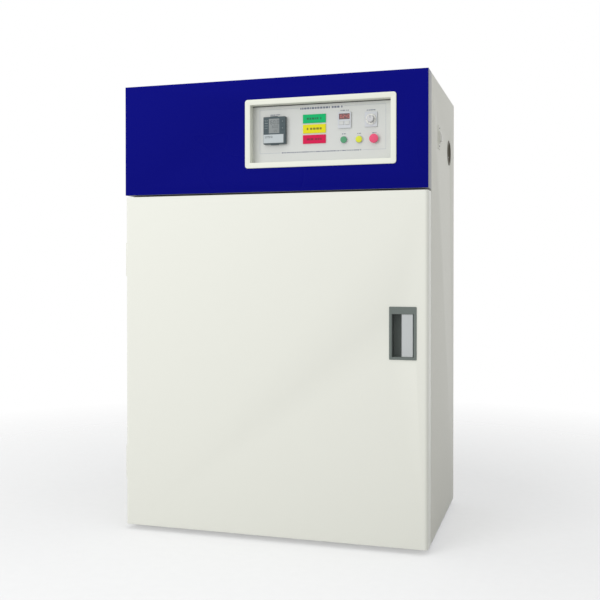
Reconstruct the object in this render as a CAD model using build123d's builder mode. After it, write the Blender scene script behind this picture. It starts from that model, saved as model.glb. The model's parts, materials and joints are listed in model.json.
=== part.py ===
"""Environmental test chamber: an insulated cabinet with a full-width door and a raised control header.

Millimetres. X runs across the front, Y from the door to the rear, Z up. The origin is on the floor,
under the middle of the cabinet. Every piece is its own STEP file in the parts folder.
"""
from build123d import *
from math import atan2, cos, degrees, radians, sin, tan
import os

os.makedirs("parts", exist_ok=True)

# Cabinet, overall
WIDTH = 1000.0
DEPTH = 640.0              # door face to rear panel
HEADER_HEIGHT = 356.0      # from above the door to the top
FOOT_HEIGHT = 16.0
FOOT_INSET = 90.0          # foot centre from the cabinet's edges
FOOT_RADIUS = 24.0
FOOT_RIM = 4.0             # height of the foot's straight edge
FOOT_CONE = 7.0            # height at which its cone ends
FOOT_NECK = 10.0
FOOT_STUD = 6.0
FOOT_NUT = 5.0
SHEET = 1.5                # painted steel sheet
FOLD = 14.0                # width of a folded flange

# Door
DOOR_HEIGHT = 1080.0
DOOR_THICKNESS = 60.0
DOOR_EDGE_RADIUS = 12.0
DOOR_GAP = 6.0             # between door and header
SEAL_GAP = 4.0             # between the door's back and the cabinet's front frame
DOOR_LINER_RETURN = 18.0
DOOR_LINER_CLEARANCE = 0.2
PLUG_DEPTH = 12.0          # raised field that enters the chamber mouth
PLUG_CLEARANCE = 14.0
PLUG_TAPER = 12.0
GASKET_WIDTH = 16.0
GASKET_INSET = 12.0        # from the chamber mouth to the gasket
GASKET_CORNER = 24.0

# Chamber
SIDE_WALL = 90.0           # cabinet side to chamber side
CHAMBER_FLOOR = 90.0       # above the cabinet's underside
CHAMBER_ROOF_DROP = 70.0   # below the door's top edge
REAR_WALL = 80.0
LINER_SHEET = 1.2
MOUTH_CORNER = 10.0
PLENUM_HEIGHT = 100.0
SIDE_DUCT = 30.0
INNER_FRONT = 20.0         # from the front frame to the first inner fitting

# Slots of the side baffles
SLOT_LENGTH = 84.0
SLOT_HEIGHT = 9.0
SLOT_COLUMNS = 3
SLOT_ROWS = 9

# Shelves
SHELF_LEVELS = (200.0, 470.0)    # above the chamber floor
UPRIGHT_WIDTH = 22.0
UPRIGHT_DEPTH = 8.0
UPRIGHT_SHEET = 1.5
UPRIGHT_SLOT = (6.0, 16.0)
UPRIGHT_SLOT_PITCH = 65.0
UPRIGHT_INSET = 60.0       # from the front and rear of the baffles
SHELF_ROD = 8.0
SHELF_WIRE = 4.0
SHELF_CORNER = 20.0
SHELF_FRONT_CLEARANCE = 16.0
SHELF_REAR_CLEARANCE = 12.0
SHELF_WIRE_COUNT = 24
SHELF_SIDE_CLEARANCE = 2.0
CLIP_REACH = 12.0
CLIP_THICKNESS = 3.0
CLIP_WIDTH = 16.0

# Air circulation
WHEEL_RADIUS = 110.0
WHEEL_INLET_RADIUS = 84.0
WHEEL_HEIGHT = 56.0
WHEEL_DROP = 18.0          # below the chamber roof
WHEEL_PLATE = 1.6
BLADE_COUNT = 24
BLADE_THICKNESS = 1.4
SHAFT_RADIUS = 6.0
RUNNING_CLEARANCE = 0.05   # radial
HUB_RADIUS = 16.0
HUB_HEIGHT = 30.0
HUB_ABOVE_WHEEL = 4.0
SHAFT_HOLE_RADIUS = 11.0
MOTOR_RADIUS = 62.0
MOTOR_HEIGHT = 120.0
MOTOR_BEVEL = 8.0
MOTOR_CROWN = 12.0
MOTOR_FIN = 6.0
MOTOR_FIN_COUNT = 5
MOTOR_FIN_PITCH = 15.0
MOTOR_FIN_START = 22.0
MOTOR_FIN_THICKNESS = 5.0
SHAFT_IN_MOTOR = 60.0
SHAFT_END_GAP = 2.0
BRACKET_HEIGHT = 42.0
BRACKET_SHEET = 4.0
BRACKET_TOE = 24.0
BRACKET_MARGIN = 12.0
HEATER_RADIUS = 150.0
HEATER_ROD = 5.0
HEATER_TURN_DROPS = (34.0, 58.0)
SLEEVE_RADIUS = 6.5
SLEEVE_SPREAD = 22.0
SLEEVE_NUT = (12.5, 7.0)    # radius across corners, and height
TERMINAL_HEIGHT = 24.0
PASSAGE_CLEARANCE = 0.5
WOOL_CLEARANCE = 3.0       # between the wool and the turning shaft
PROBE_RADIUS = 3.0
PROBE_PLACE = (-250.0, 110.0)
PROBE_REACH = 60.0         # below the plenum plate
PROBE_TAIL = 34.0          # above the bay floor
PROBE_NUT = (9.0, 8.0)     # radius across corners, and height
PROBE_HEAD = (6.0, 16.0)   # radius and height

# Exhaust
DUCT_RADIUS = 32.0
DUCT_WALL = 2.0
DUCT_BEND = 62.0
DUCT_FROM_RIGHT = 160.0
VENT_FROM_REAR = 147.0
VENT_ABOVE_BAY_FLOOR = 165.0
VENT_OPENING_RADIUS = 37.0
VENT_FLANGE_RADIUS = 43.0
VENT_FLANGE = 2.0
VENT_RECESS = 6.0
VENT_WALL = 2.0
VENT_SLOT = 4.0

# Power parts on the bay floor. Their places are across from the left one's edge, and from the fan's axis.
BAY_INSET = 70.0           # from the cabinet's left side
CONTACTOR_PLACE = (50.0, -60.0)
CONTACTOR_SIZE = (45.0, 76.0, 50.0)
CONTACTOR_TOP = (45.0, 48.0, 34.0)
SINK_PLACE = (180.0, -50.0)
SINK_SIZE = (90.0, 100.0, 30.0)
SINK_FIN = (3.0, 24.0)     # thickness and height
SINK_FIN_COUNT = 7
SINK_FIN_PITCH = 14.0
RELAY_SIZE = (44.0, 58.0, 26.0)
TERMINALS_PLACE = (120.0, 60.0)
TERMINALS_SIZE = (180.0, 34.0, 32.0)
CLAMP_SIZE = (7.0, 6.5)
CLAMP_PITCH = (12.0, 28.0)
CLAMP_COUNT = 14

# Header
FASCIA_SHEET = 2.0
FASCIA_EDGE = 1.5
BAY_WINDOW_MARGIN = 36.0

# Control panel. Instruments are placed from the panel's centre.
BEZEL_WIDTH = 483.0
BEZEL_HEIGHT = 216.0
BEZEL_BAND = 17.0
BEZEL_PROUD = 4.0
BEZEL_CORNER = 9.0
BEZEL_WALL = 3.0
PANEL_CENTRE = (337.8, 182.7)    # from the cabinet's right edge, and above the header's underside
PANEL_RECESS = 28.0
PANEL_SHEET = 2.0
CUTOUT_CLEARANCE = 0.5

CONTROLLER_CENTRE = (-149.6, 11.2)
CONTROLLER_SIZE = (73.0, 86.0)
CONTROLLER_PROUD = 14.0
DISPLAY = (35.0, 46.0)
DISPLAY_AT = (-1.0, 14.0)
KEY = (8.0, 7.0)
KEY_AT = 27.5
KEY_ROWS = (28.0, 6.0)
COVER = (66.0, 27.0)
COVER_AT = (-2.0, -26.5)
COVER_THICKNESS = 3.0
CLIP = (24.0, 3.0)
CLIP_AT = -2.0
POCKET = 3.0               # depth of a key's pocket, and twice that of a display's
LAMP_SIZE = (73.8, 27.0)
LAMP_CENTRES = ((-22.2, 44.0), (-22.2, 12.3), (-22.2, -20.2))
LAMP_PROUD = 3.0
COUNTER_CENTRE = (74.8, 34.6)
COUNTER_SIZE = (42.0, 50.6)
COUNTER_PROUD = 5.0
COUNTER_DISPLAY = (34.0, 18.0)
COUNTER_DISPLAY_AT = (0.0, 11.0)
COUNTER_KEY = (14.0, 11.0)
COUNTER_KEYS_AT = [(-9.0, -9.0), (9.0, -9.0)]
TIMER_CENTRE = (158.3, 33.1)
TIMER_SIZE = (39.0, 46.5)
TIMER_PROUD = 4.0
DIAL_RADIUS = 17.5
KNOB_RADIUS = 11.0
KNOB_DEPTH = 12.0
KNOB_FLUTE = 1.6
KNOB_FLUTE_COUNT = 12
SCALE_THICKNESS = 1.5
SPINDLE_RADIUS = 3.0
SPINDLE_LENGTH = 14.0
BUTTON_CENTRES = ((72.5, -26.1), (120.7, -26.7), (168.1, -26.7))
BUTTON_RING_RADIUS = 12.5
BUTTON_CAP_RADIUS = 10.0
BUTTON_TRAVEL = 3.5
RING_PROUD = 3.0
CAP_PROUD = 5.0
CAP_BORE_DEPTH = 8.0
MUSHROOM_RADIUS = 14.0
MUSHROOM_DEPTH = 7.0
MUSHROOM_RIM = 4.0
MUSHROOM_BEVEL = 1.0
CASE_DEPTH = 48.0          # lamp, counter, timer and button bodies behind the panel
KEY_TRAVEL = 0.8
SLIDE_CLEARANCE = 0.3

# Flush handle
HANDLE_WIDTH = 83.0
HANDLE_HEIGHT = 160.0
HANDLE_CENTRE = (76.3, 649.4)    # from the cabinet's right edge, and above its underside
HANDLE_PROUD = 2.5
HANDLE_EDGE = 0.8
HANDLE_CORNER = 2.0
POCKET_SIDE = 8.0
POCKET_TOP = 22.0
POCKET_BOTTOM = 8.0
POCKET_DEPTH = 36.0
CUP_WALL = 2.5
PADDLE_WIDTH = 37.0
PADDLE_END_CLEARANCE = 0.6
PADDLE_THICKNESS = 4.0
PADDLE_RADIUS = 5.0
PADDLE_PIN_RADIUS = 2.5
PADDLE_TAIL = 44.0
PADDLE_TAIL_HEIGHT = 10.0
PADDLE_SWING = 25.0
PADDLE_EDGE_CLEARANCE = 1.0

# Latch
BOLT_PLATE = 4.0
BOLT_WINDOW = 8.0
BOLT_TAIL = 8.0            # beyond the window, away from the hook
RAIL_LIP = 2.0
RAIL_HEIGHT = 6.0
RAIL_OVERHANG = 4.0
HOOK_WIDTH = 10.0
HOOK_HEIGHT = 24.0
HOOK_CHAMFER = 4.0
HOOK_REACH = 9.0           # into the cabinet, past the front frame's face
STRIKE_CLEARANCE = 0.6
STRIKE_MARGIN = 8.0
STRIKE_SHEET = 1.5
STRIKE_DEPTH = 18.0
HOOK_FROM_EDGE = 19.0      # hook's nose from the cabinet's right side

# Hinges
HINGE_LENGTH = 110.0
HINGE_FROM_END = 150.0
HINGE_OFFSET = 10.0        # hinge axis outside the cabinet's left side
KNUCKLE_RADIUS = 8.0
HINGE_PIN_RADIUS = 4.0
LEAF_THICKNESS = 3.0
LEAF_REACH = 44.0
KNUCKLE_GAP = 0.4

# Mains switch on the right side
SWITCH_FROM_FRONT = 232.0
SWITCH_ABOVE_BAY_FLOOR = 182.5
SWITCH_PLATE = (50.0, 76.0, 2.0)
SWITCH_BEZEL = (30.0, 40.0, 2.5)
ROCKER_SIZE = (20.0, 30.0)
ROCKER_RADIUS = 15.0
ROCKER_TILT = 8.0
ROCKER_SUNK = 6.0          # its axis, behind the bezel's face
ROCKER_PROUD = 4.0
ROCKER_CROWN = 40.0
ROCKER_KEEL = 4.0
SWITCH_BODY_DEPTH = 26.0
SWITCH_WALL = 2.5

# Rear of the control bay
LOUVRE_LENGTH = 120.0
LOUVRE_HEIGHT = 8.0
LOUVRE_PROUD = 5.0
LOUVRE_BEND = 9.0
LOUVRE_PITCH = 22.0
LOUVRE_ROWS = 6
LOUVRE_COLUMNS = 2
LOUVRE_SPREAD = 300.0      # between the middles of the columns
LOUVRE_RISE = 90.0         # lowest slot above the bay floor
GLAND_RADIUS = 11.0
GLAND_BODY_RADIUS = 7.8
GLAND_BORE_RADIUS = 4.5
GLAND_NUT = 5.0
GLAND_DOME_TAPER = 12.0
GLAND_PROUD = 14.0
GLAND_CLEARANCE = 0.2
GLAND_CENTRE = (120.0, 60.0)     # from the cabinet's left side, and above the bay floor

# Places that follow from the sizes above
LEFT, RIGHT = -WIDTH / 2, WIDTH / 2
FRONT, REAR = -DEPTH / 2, DEPTH / 2
BASE = FOOT_HEIGHT
DOOR_TOP = BASE + DOOR_HEIGHT
DOOR_BACK = FRONT + DOOR_THICKNESS
FACE = DOOR_BACK + SEAL_GAP              # outer face of the cabinet's front frame
HEADER_UNDER = DOOR_TOP + DOOR_GAP
TOP = HEADER_UNDER + HEADER_HEIGHT
FLOOR_IN = BASE + CHAMBER_FLOOR
ROOF_IN = DOOR_TOP - CHAMBER_ROOF_DROP
REAR_IN = REAR - REAR_WALL
WALL_IN = RIGHT - SIDE_WALL
PLENUM = ROOF_IN - PLENUM_HEIGHT
FIT_FRONT = FACE + INNER_FRONT
BAFFLE = WALL_IN - SIDE_DUCT             # outer face of a side baffle's web
PANEL_FACE = FRONT + PANEL_RECESS
FAN_Y = (FIT_FRONT + REAR_IN) / 2
SLEEVE_PLACES = [(x, FAN_Y + (HEATER_RADIUS ** 2 - SLEEVE_SPREAD ** 2) ** 0.5)
                 for x in (-SLEEVE_SPREAD, SLEEVE_SPREAD)]
DUCT_X = RIGHT - DUCT_FROM_RIGHT
VENT_Y, VENT_Z = REAR - VENT_FROM_REAR, HEADER_UNDER + VENT_ABOVE_BAY_FLOOR
SWITCH_Y, SWITCH_Z = FRONT + SWITCH_FROM_FRONT, HEADER_UNDER + SWITCH_ABOVE_BAY_FLOOR
GLAND_PLACE = (LEFT + GLAND_CENTRE[0], HEADER_UNDER + GLAND_CENTRE[1])
PANEL_X, PANEL_Z = RIGHT - PANEL_CENTRE[0], HEADER_UNDER + PANEL_CENTRE[1]
HINGE_X, HINGE_Y = LEFT - HINGE_OFFSET, (DOOR_BACK + FACE) / 2
HINGE_HEIGHTS = (BASE + HINGE_FROM_END, DOOR_TOP - HINGE_FROM_END - HINGE_LENGTH)
HANDLE_X, HANDLE_Z = RIGHT - HANDLE_CENTRE[0], BASE + HANDLE_CENTRE[1]
POCKET_X = (HANDLE_X - HANDLE_WIDTH / 2 + POCKET_SIDE, HANDLE_X + HANDLE_WIDTH / 2 - POCKET_SIDE)
POCKET_Z = (HANDLE_Z - HANDLE_HEIGHT / 2 + POCKET_BOTTOM, HANDLE_Z + HANDLE_HEIGHT / 2 - POCKET_TOP)
PIVOT_X = POCKET_X[1] - PADDLE_EDGE_CLEARANCE - PADDLE_RADIUS
PIVOT_Y = FRONT + PADDLE_RADIUS
CUP_BACK = FRONT + POCKET_DEPTH + CUP_WALL
BOLT_Y = (CUP_BACK + SLIDE_CLEARANCE, CUP_BACK + SLIDE_CLEARANCE + BOLT_PLATE)
BOLT_TRAVEL = (sum(BOLT_Y) / 2 - PIVOT_Y) * tan(radians(PADDLE_SWING))
HOOK_NOSE = RIGHT - HOOK_FROM_EDGE
HOOK_X = (HOOK_NOSE - HOOK_WIDTH, HOOK_NOSE)
STRIKE_X = (HOOK_X[0] - BOLT_TRAVEL - STRIKE_CLEARANCE, HOOK_X[1] + STRIKE_CLEARANCE)
STRIKE_Z = (HANDLE_Z - HOOK_HEIGHT / 2 - STRIKE_CLEARANCE, HANDLE_Z + HOOK_HEIGHT / 2 + STRIKE_CLEARANCE)


def keep(piece, name):
    """Labels a finished piece and writes it as its own STEP file."""
    piece.part.label = name
    export_step(piece.part, f"parts/{name}.step")


def facing(y):
    """Plane parallel to the front at depth y, on which a sketch extrudes towards the viewer."""
    return Plane.XZ.offset(-y)


def grown(span, amount):
    """A low and high pair, moved apart by amount at each end."""
    return (span[0] - amount, span[1] + amount)


def about(centre, size):
    """The low and high pair of a size centred on a place."""
    return (centre - size / 2, centre + size / 2)


def on_panel(place):
    """Model X and Z of a place that was measured from the control panel's centre."""
    return (PANEL_X + place[0], PANEL_Z + place[1])


def span_rectangle(across, up, mode=Mode.ADD):
    """Adds to the sketch a rectangle that reaches from low to high both ways."""
    with Locations((sum(across) / 2, sum(up) / 2)):
        Rectangle(across[1] - across[0], up[1] - up[0], mode=mode)


def span_box(x, y, z, mode=Mode.ADD):
    """Adds to the part a box that reaches from low to high all three ways."""
    with Locations((sum(x) / 2, sum(y) / 2, sum(z) / 2)):
        Box(x[1] - x[0], y[1] - y[0], z[1] - z[0], mode=mode)


def roof_passages(shaft_radius):
    """Adds to the sketch the holes over the chamber: shaft, exhaust duct, probe and heater sleeves."""
    with Locations((0, FAN_Y)):
        Circle(shaft_radius)
    with Locations((DUCT_X, VENT_Y)):
        Circle(DUCT_RADIUS)
    with Locations(PROBE_PLACE):
        Circle(PROBE_RADIUS + PASSAGE_CLEARANCE)
    with Locations(*SLEEVE_PLACES):
        Circle(SLEEVE_RADIUS + PASSAGE_CLEARANCE)


# Cabinet shell

def side_panel(side):
    """One outer side: a sheet with a flange folded inwards at the front and at the rear."""
    outer = side * WIDTH / 2
    web = sorted((outer, outer - side * SHEET))
    flange = sorted((outer, outer - side * FOLD))
    with BuildPart() as panel:
        with BuildSketch(Plane.XY.offset(BASE + SHEET)):
            span_rectangle(web, (FACE + SHEET, REAR))
            span_rectangle(flange, (FACE + SHEET, FACE + 2 * SHEET))
            span_rectangle(flange, (REAR - 2 * SHEET, REAR - SHEET))
        extrude(amount=TOP - BASE - 2 * SHEET)
        if side > 0:
            with BuildSketch(Plane.YZ.offset(RIGHT)):
                with Locations((VENT_Y, VENT_Z)):
                    Circle(VENT_OPENING_RADIUS)
                with Locations((SWITCH_Y, SWITCH_Z)):
                    Rectangle(SWITCH_BEZEL[0] - 4, SWITCH_BEZEL[1] - 4)
            extrude(amount=-FOLD, mode=Mode.SUBTRACT)
    return panel


keep(side_panel(-1), "side_panel_left")
keep(side_panel(1), "side_panel_right")


def end_sheet(plate, flange):
    """The top cover or the base pan: a plate with a flange folded along each side."""
    with BuildPart() as sheet:
        span_box((LEFT, RIGHT), (FACE + SHEET, REAR), plate)
        for side in (-1, 1):
            inner = sorted(side * (RIGHT - SHEET * n) for n in (1, 2))
            span_box(inner, (FACE + 2 * SHEET, REAR - 2 * SHEET), flange)
    return sheet


keep(end_sheet((TOP - SHEET, TOP), (TOP - SHEET - FOLD, TOP - SHEET)), "top_cover")
keep(end_sheet((BASE, BASE + SHEET), (BASE + SHEET, BASE + SHEET + FOLD)), "base_pan")

with BuildPart() as front_frame:
    with BuildSketch(facing(FACE + SHEET)):
        span_rectangle((LEFT, RIGHT), (BASE, TOP))
        with Locations((0, (FLOOR_IN + ROOF_IN) / 2)):
            RectangleRounded(2 * WALL_IN, ROOF_IN - FLOOR_IN, MOUTH_CORNER, mode=Mode.SUBTRACT)
        span_rectangle((LEFT + BAY_WINDOW_MARGIN, RIGHT - BAY_WINDOW_MARGIN),
                       (HEADER_UNDER + BAY_WINDOW_MARGIN / 2, TOP - BAY_WINDOW_MARGIN), mode=Mode.SUBTRACT)
        span_rectangle(grown(STRIKE_X, STRIKE_SHEET), grown(STRIKE_Z, STRIKE_SHEET), mode=Mode.SUBTRACT)
    extrude(amount=SHEET)
keep(front_frame, "front_frame")

with BuildPart() as rear_panel:
    span_box((LEFT + SHEET, RIGHT - SHEET), (REAR - SHEET, REAR), (BASE + SHEET, TOP - SHEET))
    for column in range(LOUVRE_COLUMNS):
        for row in range(LOUVRE_ROWS):
            middle = LOUVRE_SPREAD * (column - (LOUVRE_COLUMNS - 1) / 2)
            sill = HEADER_UNDER + LOUVRE_RISE + row * LOUVRE_PITCH
            crest = sill + LOUVRE_HEIGHT
            # The slot, then the hood pressed out over it, open downwards.
            span_box(about(middle, LOUVRE_LENGTH), (REAR - 2 * SHEET, REAR + SHEET), (sill, crest),
                     mode=Mode.SUBTRACT)
            with BuildSketch(Plane.YZ.offset(middle - LOUVRE_LENGTH / 2)):
                with BuildLine():
                    Polyline((REAR, crest + SHEET), (REAR - SHEET, crest + SHEET), (REAR - SHEET, crest),
                             (REAR, crest))
                    RadiusArc((REAR, crest), (REAR + LOUVRE_PROUD - SHEET, sill), LOUVRE_BEND)
                    Line((REAR + LOUVRE_PROUD - SHEET, sill), (REAR + LOUVRE_PROUD, sill))
                    RadiusArc((REAR + LOUVRE_PROUD, sill), (REAR, crest + SHEET), -LOUVRE_BEND - SHEET)
                make_face()
            extrude(amount=LOUVRE_LENGTH)
    with BuildSketch(facing(REAR + SHEET)):
        with Locations(GLAND_PLACE):
            Circle(GLAND_BODY_RADIUS + GLAND_CLEARANCE)
    extrude(amount=3 * SHEET, mode=Mode.SUBTRACT)
keep(rear_panel, "rear_panel")

with BuildPart() as cable_gland:
    with BuildSketch(facing(REAR)):
        with Locations(GLAND_PLACE):
            Circle(GLAND_BODY_RADIUS)
    extrude(amount=FOLD)
    with BuildSketch(facing(REAR)):
        with Locations(GLAND_PLACE):
            RegularPolygon(GLAND_RADIUS, 6)
    extrude(amount=-GLAND_NUT)
    with BuildSketch(facing(REAR + GLAND_NUT)):
        with Locations(GLAND_PLACE):
            Circle(GLAND_BODY_RADIUS + 1)
    extrude(amount=-(GLAND_PROUD - GLAND_NUT), taper=GLAND_DOME_TAPER)
    with BuildSketch(facing(REAR - FOLD)):
        with Locations(GLAND_PLACE):
            Circle(GLAND_BORE_RADIUS)
    extrude(amount=-(FOLD + GLAND_PROUD), mode=Mode.SUBTRACT)
keep(cable_gland, "cable_gland")

with BuildPart() as levelling_feet:
    for x in (LEFT + FOOT_INSET, RIGHT - FOOT_INSET):
        for y in (FACE + FOOT_INSET, REAR - FOOT_INSET):
            with BuildSketch(Plane(origin=(x, y, 0), x_dir=(1, 0, 0), z_dir=(0, -1, 0))):
                with BuildLine():
                    Polyline((0, 0), (FOOT_RADIUS, 0), (FOOT_RADIUS, FOOT_RIM), (FOOT_NECK, FOOT_CONE),
                             (FOOT_STUD, FOOT_CONE), (FOOT_STUD, FOOT_HEIGHT), (0, FOOT_HEIGHT), close=True)
                make_face()
            revolve(axis=Axis((x, y, 0), (0, 0, 1)))
            with BuildSketch(Plane.XY.offset(FOOT_HEIGHT - FOOT_NUT)):
                with Locations((x, y)):
                    RegularPolygon(FOOT_NECK, 6)
            extrude(amount=FOOT_NUT)
keep(levelling_feet, "levelling_feet")

# Insulated chamber

with BuildPart() as chamber_liner:
    span_box(grown((-WALL_IN, WALL_IN), LINER_SHEET), (FACE + SHEET, REAR_IN + LINER_SHEET),
             grown((FLOOR_IN, ROOF_IN), LINER_SHEET))
    mouth = chamber_liner.faces().sort_by(Axis.Y)[0]
    offset(amount=-LINER_SHEET, openings=mouth, kind=Kind.INTERSECTION)
    with BuildSketch(Plane.XY.offset(ROOF_IN + 2 * LINER_SHEET)):
        roof_passages(SHAFT_HOLE_RADIUS)
    extrude(amount=-3 * LINER_SHEET, mode=Mode.SUBTRACT)
keep(chamber_liner, "chamber_liner")

WOOL_TOP = HEADER_UNDER - SHEET
with BuildPart() as insulation:
    span_box((LEFT + 2 * SHEET, RIGHT - 2 * SHEET), (FACE + 2 * SHEET, REAR - 2 * SHEET),
             (BASE + SHEET, WOOL_TOP))
    span_box(grown((-WALL_IN, WALL_IN), LINER_SHEET), (FACE, REAR_IN + LINER_SHEET),
             grown((FLOOR_IN, ROOF_IN), LINER_SHEET), mode=Mode.SUBTRACT)
    span_box(grown(STRIKE_X, 2 * STRIKE_SHEET), (FACE, FACE + STRIKE_DEPTH + STRIKE_SHEET),
             grown(STRIKE_Z, 2 * STRIKE_SHEET), mode=Mode.SUBTRACT)
    with BuildSketch(Plane.XY.offset(WOOL_TOP)):
        roof_passages(SHAFT_HOLE_RADIUS + WOOL_CLEARANCE)
    extrude(amount=-(WOOL_TOP - ROOF_IN), mode=Mode.SUBTRACT)
keep(insulation, "insulation")

with BuildPart() as bay_floor:
    span_box((LEFT + 2 * SHEET, RIGHT - 2 * SHEET), (FACE + 2 * SHEET, REAR - 2 * SHEET),
             (WOOL_TOP, HEADER_UNDER))
    with BuildSketch(Plane.XY.offset(HEADER_UNDER)):
        roof_passages(SHAFT_HOLE_RADIUS)
    extrude(amount=-2 * SHEET, mode=Mode.SUBTRACT)
keep(bay_floor, "bay_floor")

# Slotted inner side sheets, each with a flange to the liner at its front and rear edges
with BuildPart() as side_baffles:
    column_pitch = (REAR_IN - FIT_FRONT) / SLOT_COLUMNS
    row_pitch = (PLENUM - FLOOR_IN) / (SLOT_ROWS + 1)
    for side in (-1, 1):
        web = sorted((side * BAFFLE, side * (BAFFLE - LINER_SHEET)))
        reach = sorted((side * WALL_IN, side * (BAFFLE - LINER_SHEET)))
        with BuildSketch(Plane.XY.offset(FLOOR_IN)):
            span_rectangle(web, (FIT_FRONT, REAR_IN))
            span_rectangle(reach, (FIT_FRONT, FIT_FRONT + LINER_SHEET))
            span_rectangle(reach, (REAR_IN - LINER_SHEET, REAR_IN))
        extrude(amount=PLENUM - LINER_SHEET - FLOOR_IN)
        with BuildSketch(Plane.YZ.offset(side * BAFFLE + LINER_SHEET)):
            with Locations((FAN_Y, (PLENUM + FLOOR_IN) / 2)):
                with GridLocations(column_pitch, row_pitch, SLOT_COLUMNS, SLOT_ROWS):
                    Rectangle(SLOT_LENGTH, SLOT_HEIGHT)
        extrude(amount=-3 * LINER_SHEET, mode=Mode.SUBTRACT)
keep(side_baffles, "side_baffles")

with BuildPart() as plenum_plate:
    with BuildSketch(Plane.YZ.offset(-BAFFLE)):
        span_rectangle((FIT_FRONT, REAR_IN), (PLENUM - LINER_SHEET, PLENUM))
        span_rectangle((FIT_FRONT, FIT_FRONT + LINER_SHEET), (PLENUM - LINER_SHEET, ROOF_IN))
        span_rectangle((REAR_IN - LINER_SHEET, REAR_IN), (PLENUM - LINER_SHEET, PLENUM + FOLD))
    extrude(amount=2 * BAFFLE)
    with BuildSketch(Plane.XY.offset(PLENUM + LINER_SHEET)):
        with Locations((0, FAN_Y)):
            Circle(WHEEL_INLET_RADIUS)
        with Locations(PROBE_PLACE):
            Circle(PROBE_RADIUS + PASSAGE_CLEARANCE)
    extrude(amount=-3 * LINER_SHEET, mode=Mode.SUBTRACT)
keep(plenum_plate, "plenum_plate")

# Shelving

UPRIGHT_Y = (FIT_FRONT + UPRIGHT_INSET, REAR_IN - UPRIGHT_INSET)
UPRIGHT_FACE = BAFFLE - LINER_SHEET - UPRIGHT_DEPTH
with BuildPart() as shelf_uprights:
    for side in (-1, 1):
        back = side * (BAFFLE - LINER_SHEET)
        face = sorted((side * UPRIGHT_FACE, side * (UPRIGHT_FACE + UPRIGHT_SHEET)))
        walls = sorted((side * UPRIGHT_FACE, back))
        for y in UPRIGHT_Y:
            with BuildSketch(Plane.XY.offset(FLOOR_IN)):
                span_rectangle(face, about(y, UPRIGHT_WIDTH))
                for edge in (-1, 1):
                    wall_y = y + edge * (UPRIGHT_WIDTH - UPRIGHT_SHEET) / 2
                    span_rectangle(walls, about(wall_y, UPRIGHT_SHEET))
            extrude(amount=PLENUM - LINER_SHEET - FLOOR_IN)
            slots = int((PLENUM - FLOOR_IN) / UPRIGHT_SLOT_PITCH) - 1
            for n in range(slots):
                z = FLOOR_IN + (n + 1) * UPRIGHT_SLOT_PITCH
                span_box(grown(face, UPRIGHT_SHEET), about(y, UPRIGHT_SLOT[0]), about(z, UPRIGHT_SLOT[1]),
                         mode=Mode.SUBTRACT)
            # Under each shelf a clip hooks into the upright and stands out as a ledge.
            for level in SHELF_LEVELS:
                z = FLOOR_IN + level
                plate = sorted((side * UPRIGHT_FACE, side * (UPRIGHT_FACE - UPRIGHT_SHEET)))
                ledge = sorted((side * UPRIGHT_FACE, side * (UPRIGHT_FACE - CLIP_REACH)))
                span_box(plate, about(y, CLIP_WIDTH), (z - 2 * CLIP_REACH, z))
                span_box(ledge, about(y, CLIP_WIDTH), (z - CLIP_THICKNESS, z))
keep(shelf_uprights, "shelf_uprights")

SHELF_HALF = UPRIGHT_FACE - SHELF_SIDE_CLEARANCE
SHELF_Y = (FIT_FRONT + SHELF_FRONT_CLEARANCE, REAR_IN - SHELF_REAR_CLEARANCE)
with BuildPart() as wire_shelves:
    # Each shelf is a rod frame with wires welded across its top from front to rear.
    half = SHELF_HALF - SHELF_ROD / 2
    near, far = SHELF_Y[0] + SHELF_ROD / 2, SHELF_Y[1] - SHELF_ROD / 2
    pitch = 2 * half / (SHELF_WIRE_COUNT + 1)
    for level in SHELF_LEVELS:
        z = FLOOR_IN + level + SHELF_ROD / 2
        with BuildLine(Plane.XY.offset(z)) as loop:
            Polyline((-half, near), (half, near), (half, far), (-half, far), close=True)
            fillet(loop.vertices(), SHELF_CORNER)
        rod = loop.wire()
        with BuildSketch(Plane(origin=rod @ 0, z_dir=rod % 0)):
            Circle(SHELF_ROD / 2)
        sweep(path=rod)
        with BuildSketch(facing(far)):
            with Locations((0, z + SHELF_ROD / 2)):
                with GridLocations(pitch, 0, SHELF_WIRE_COUNT, 1):
                    Circle(SHELF_WIRE / 2)
        extrude(amount=far - near)
keep(wire_shelves, "wire_shelves")

# Air circulation: motor over the chamber, wheel and heater in the plenum

WHEEL_TOP = ROOF_IN - WHEEL_DROP
WHEEL_BOTTOM = WHEEL_TOP - WHEEL_HEIGHT
HUB_BOTTOM = WHEEL_TOP + HUB_ABOVE_WHEEL - HUB_HEIGHT
MOTOR_BOTTOM = HEADER_UNDER + BRACKET_HEIGHT

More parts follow.
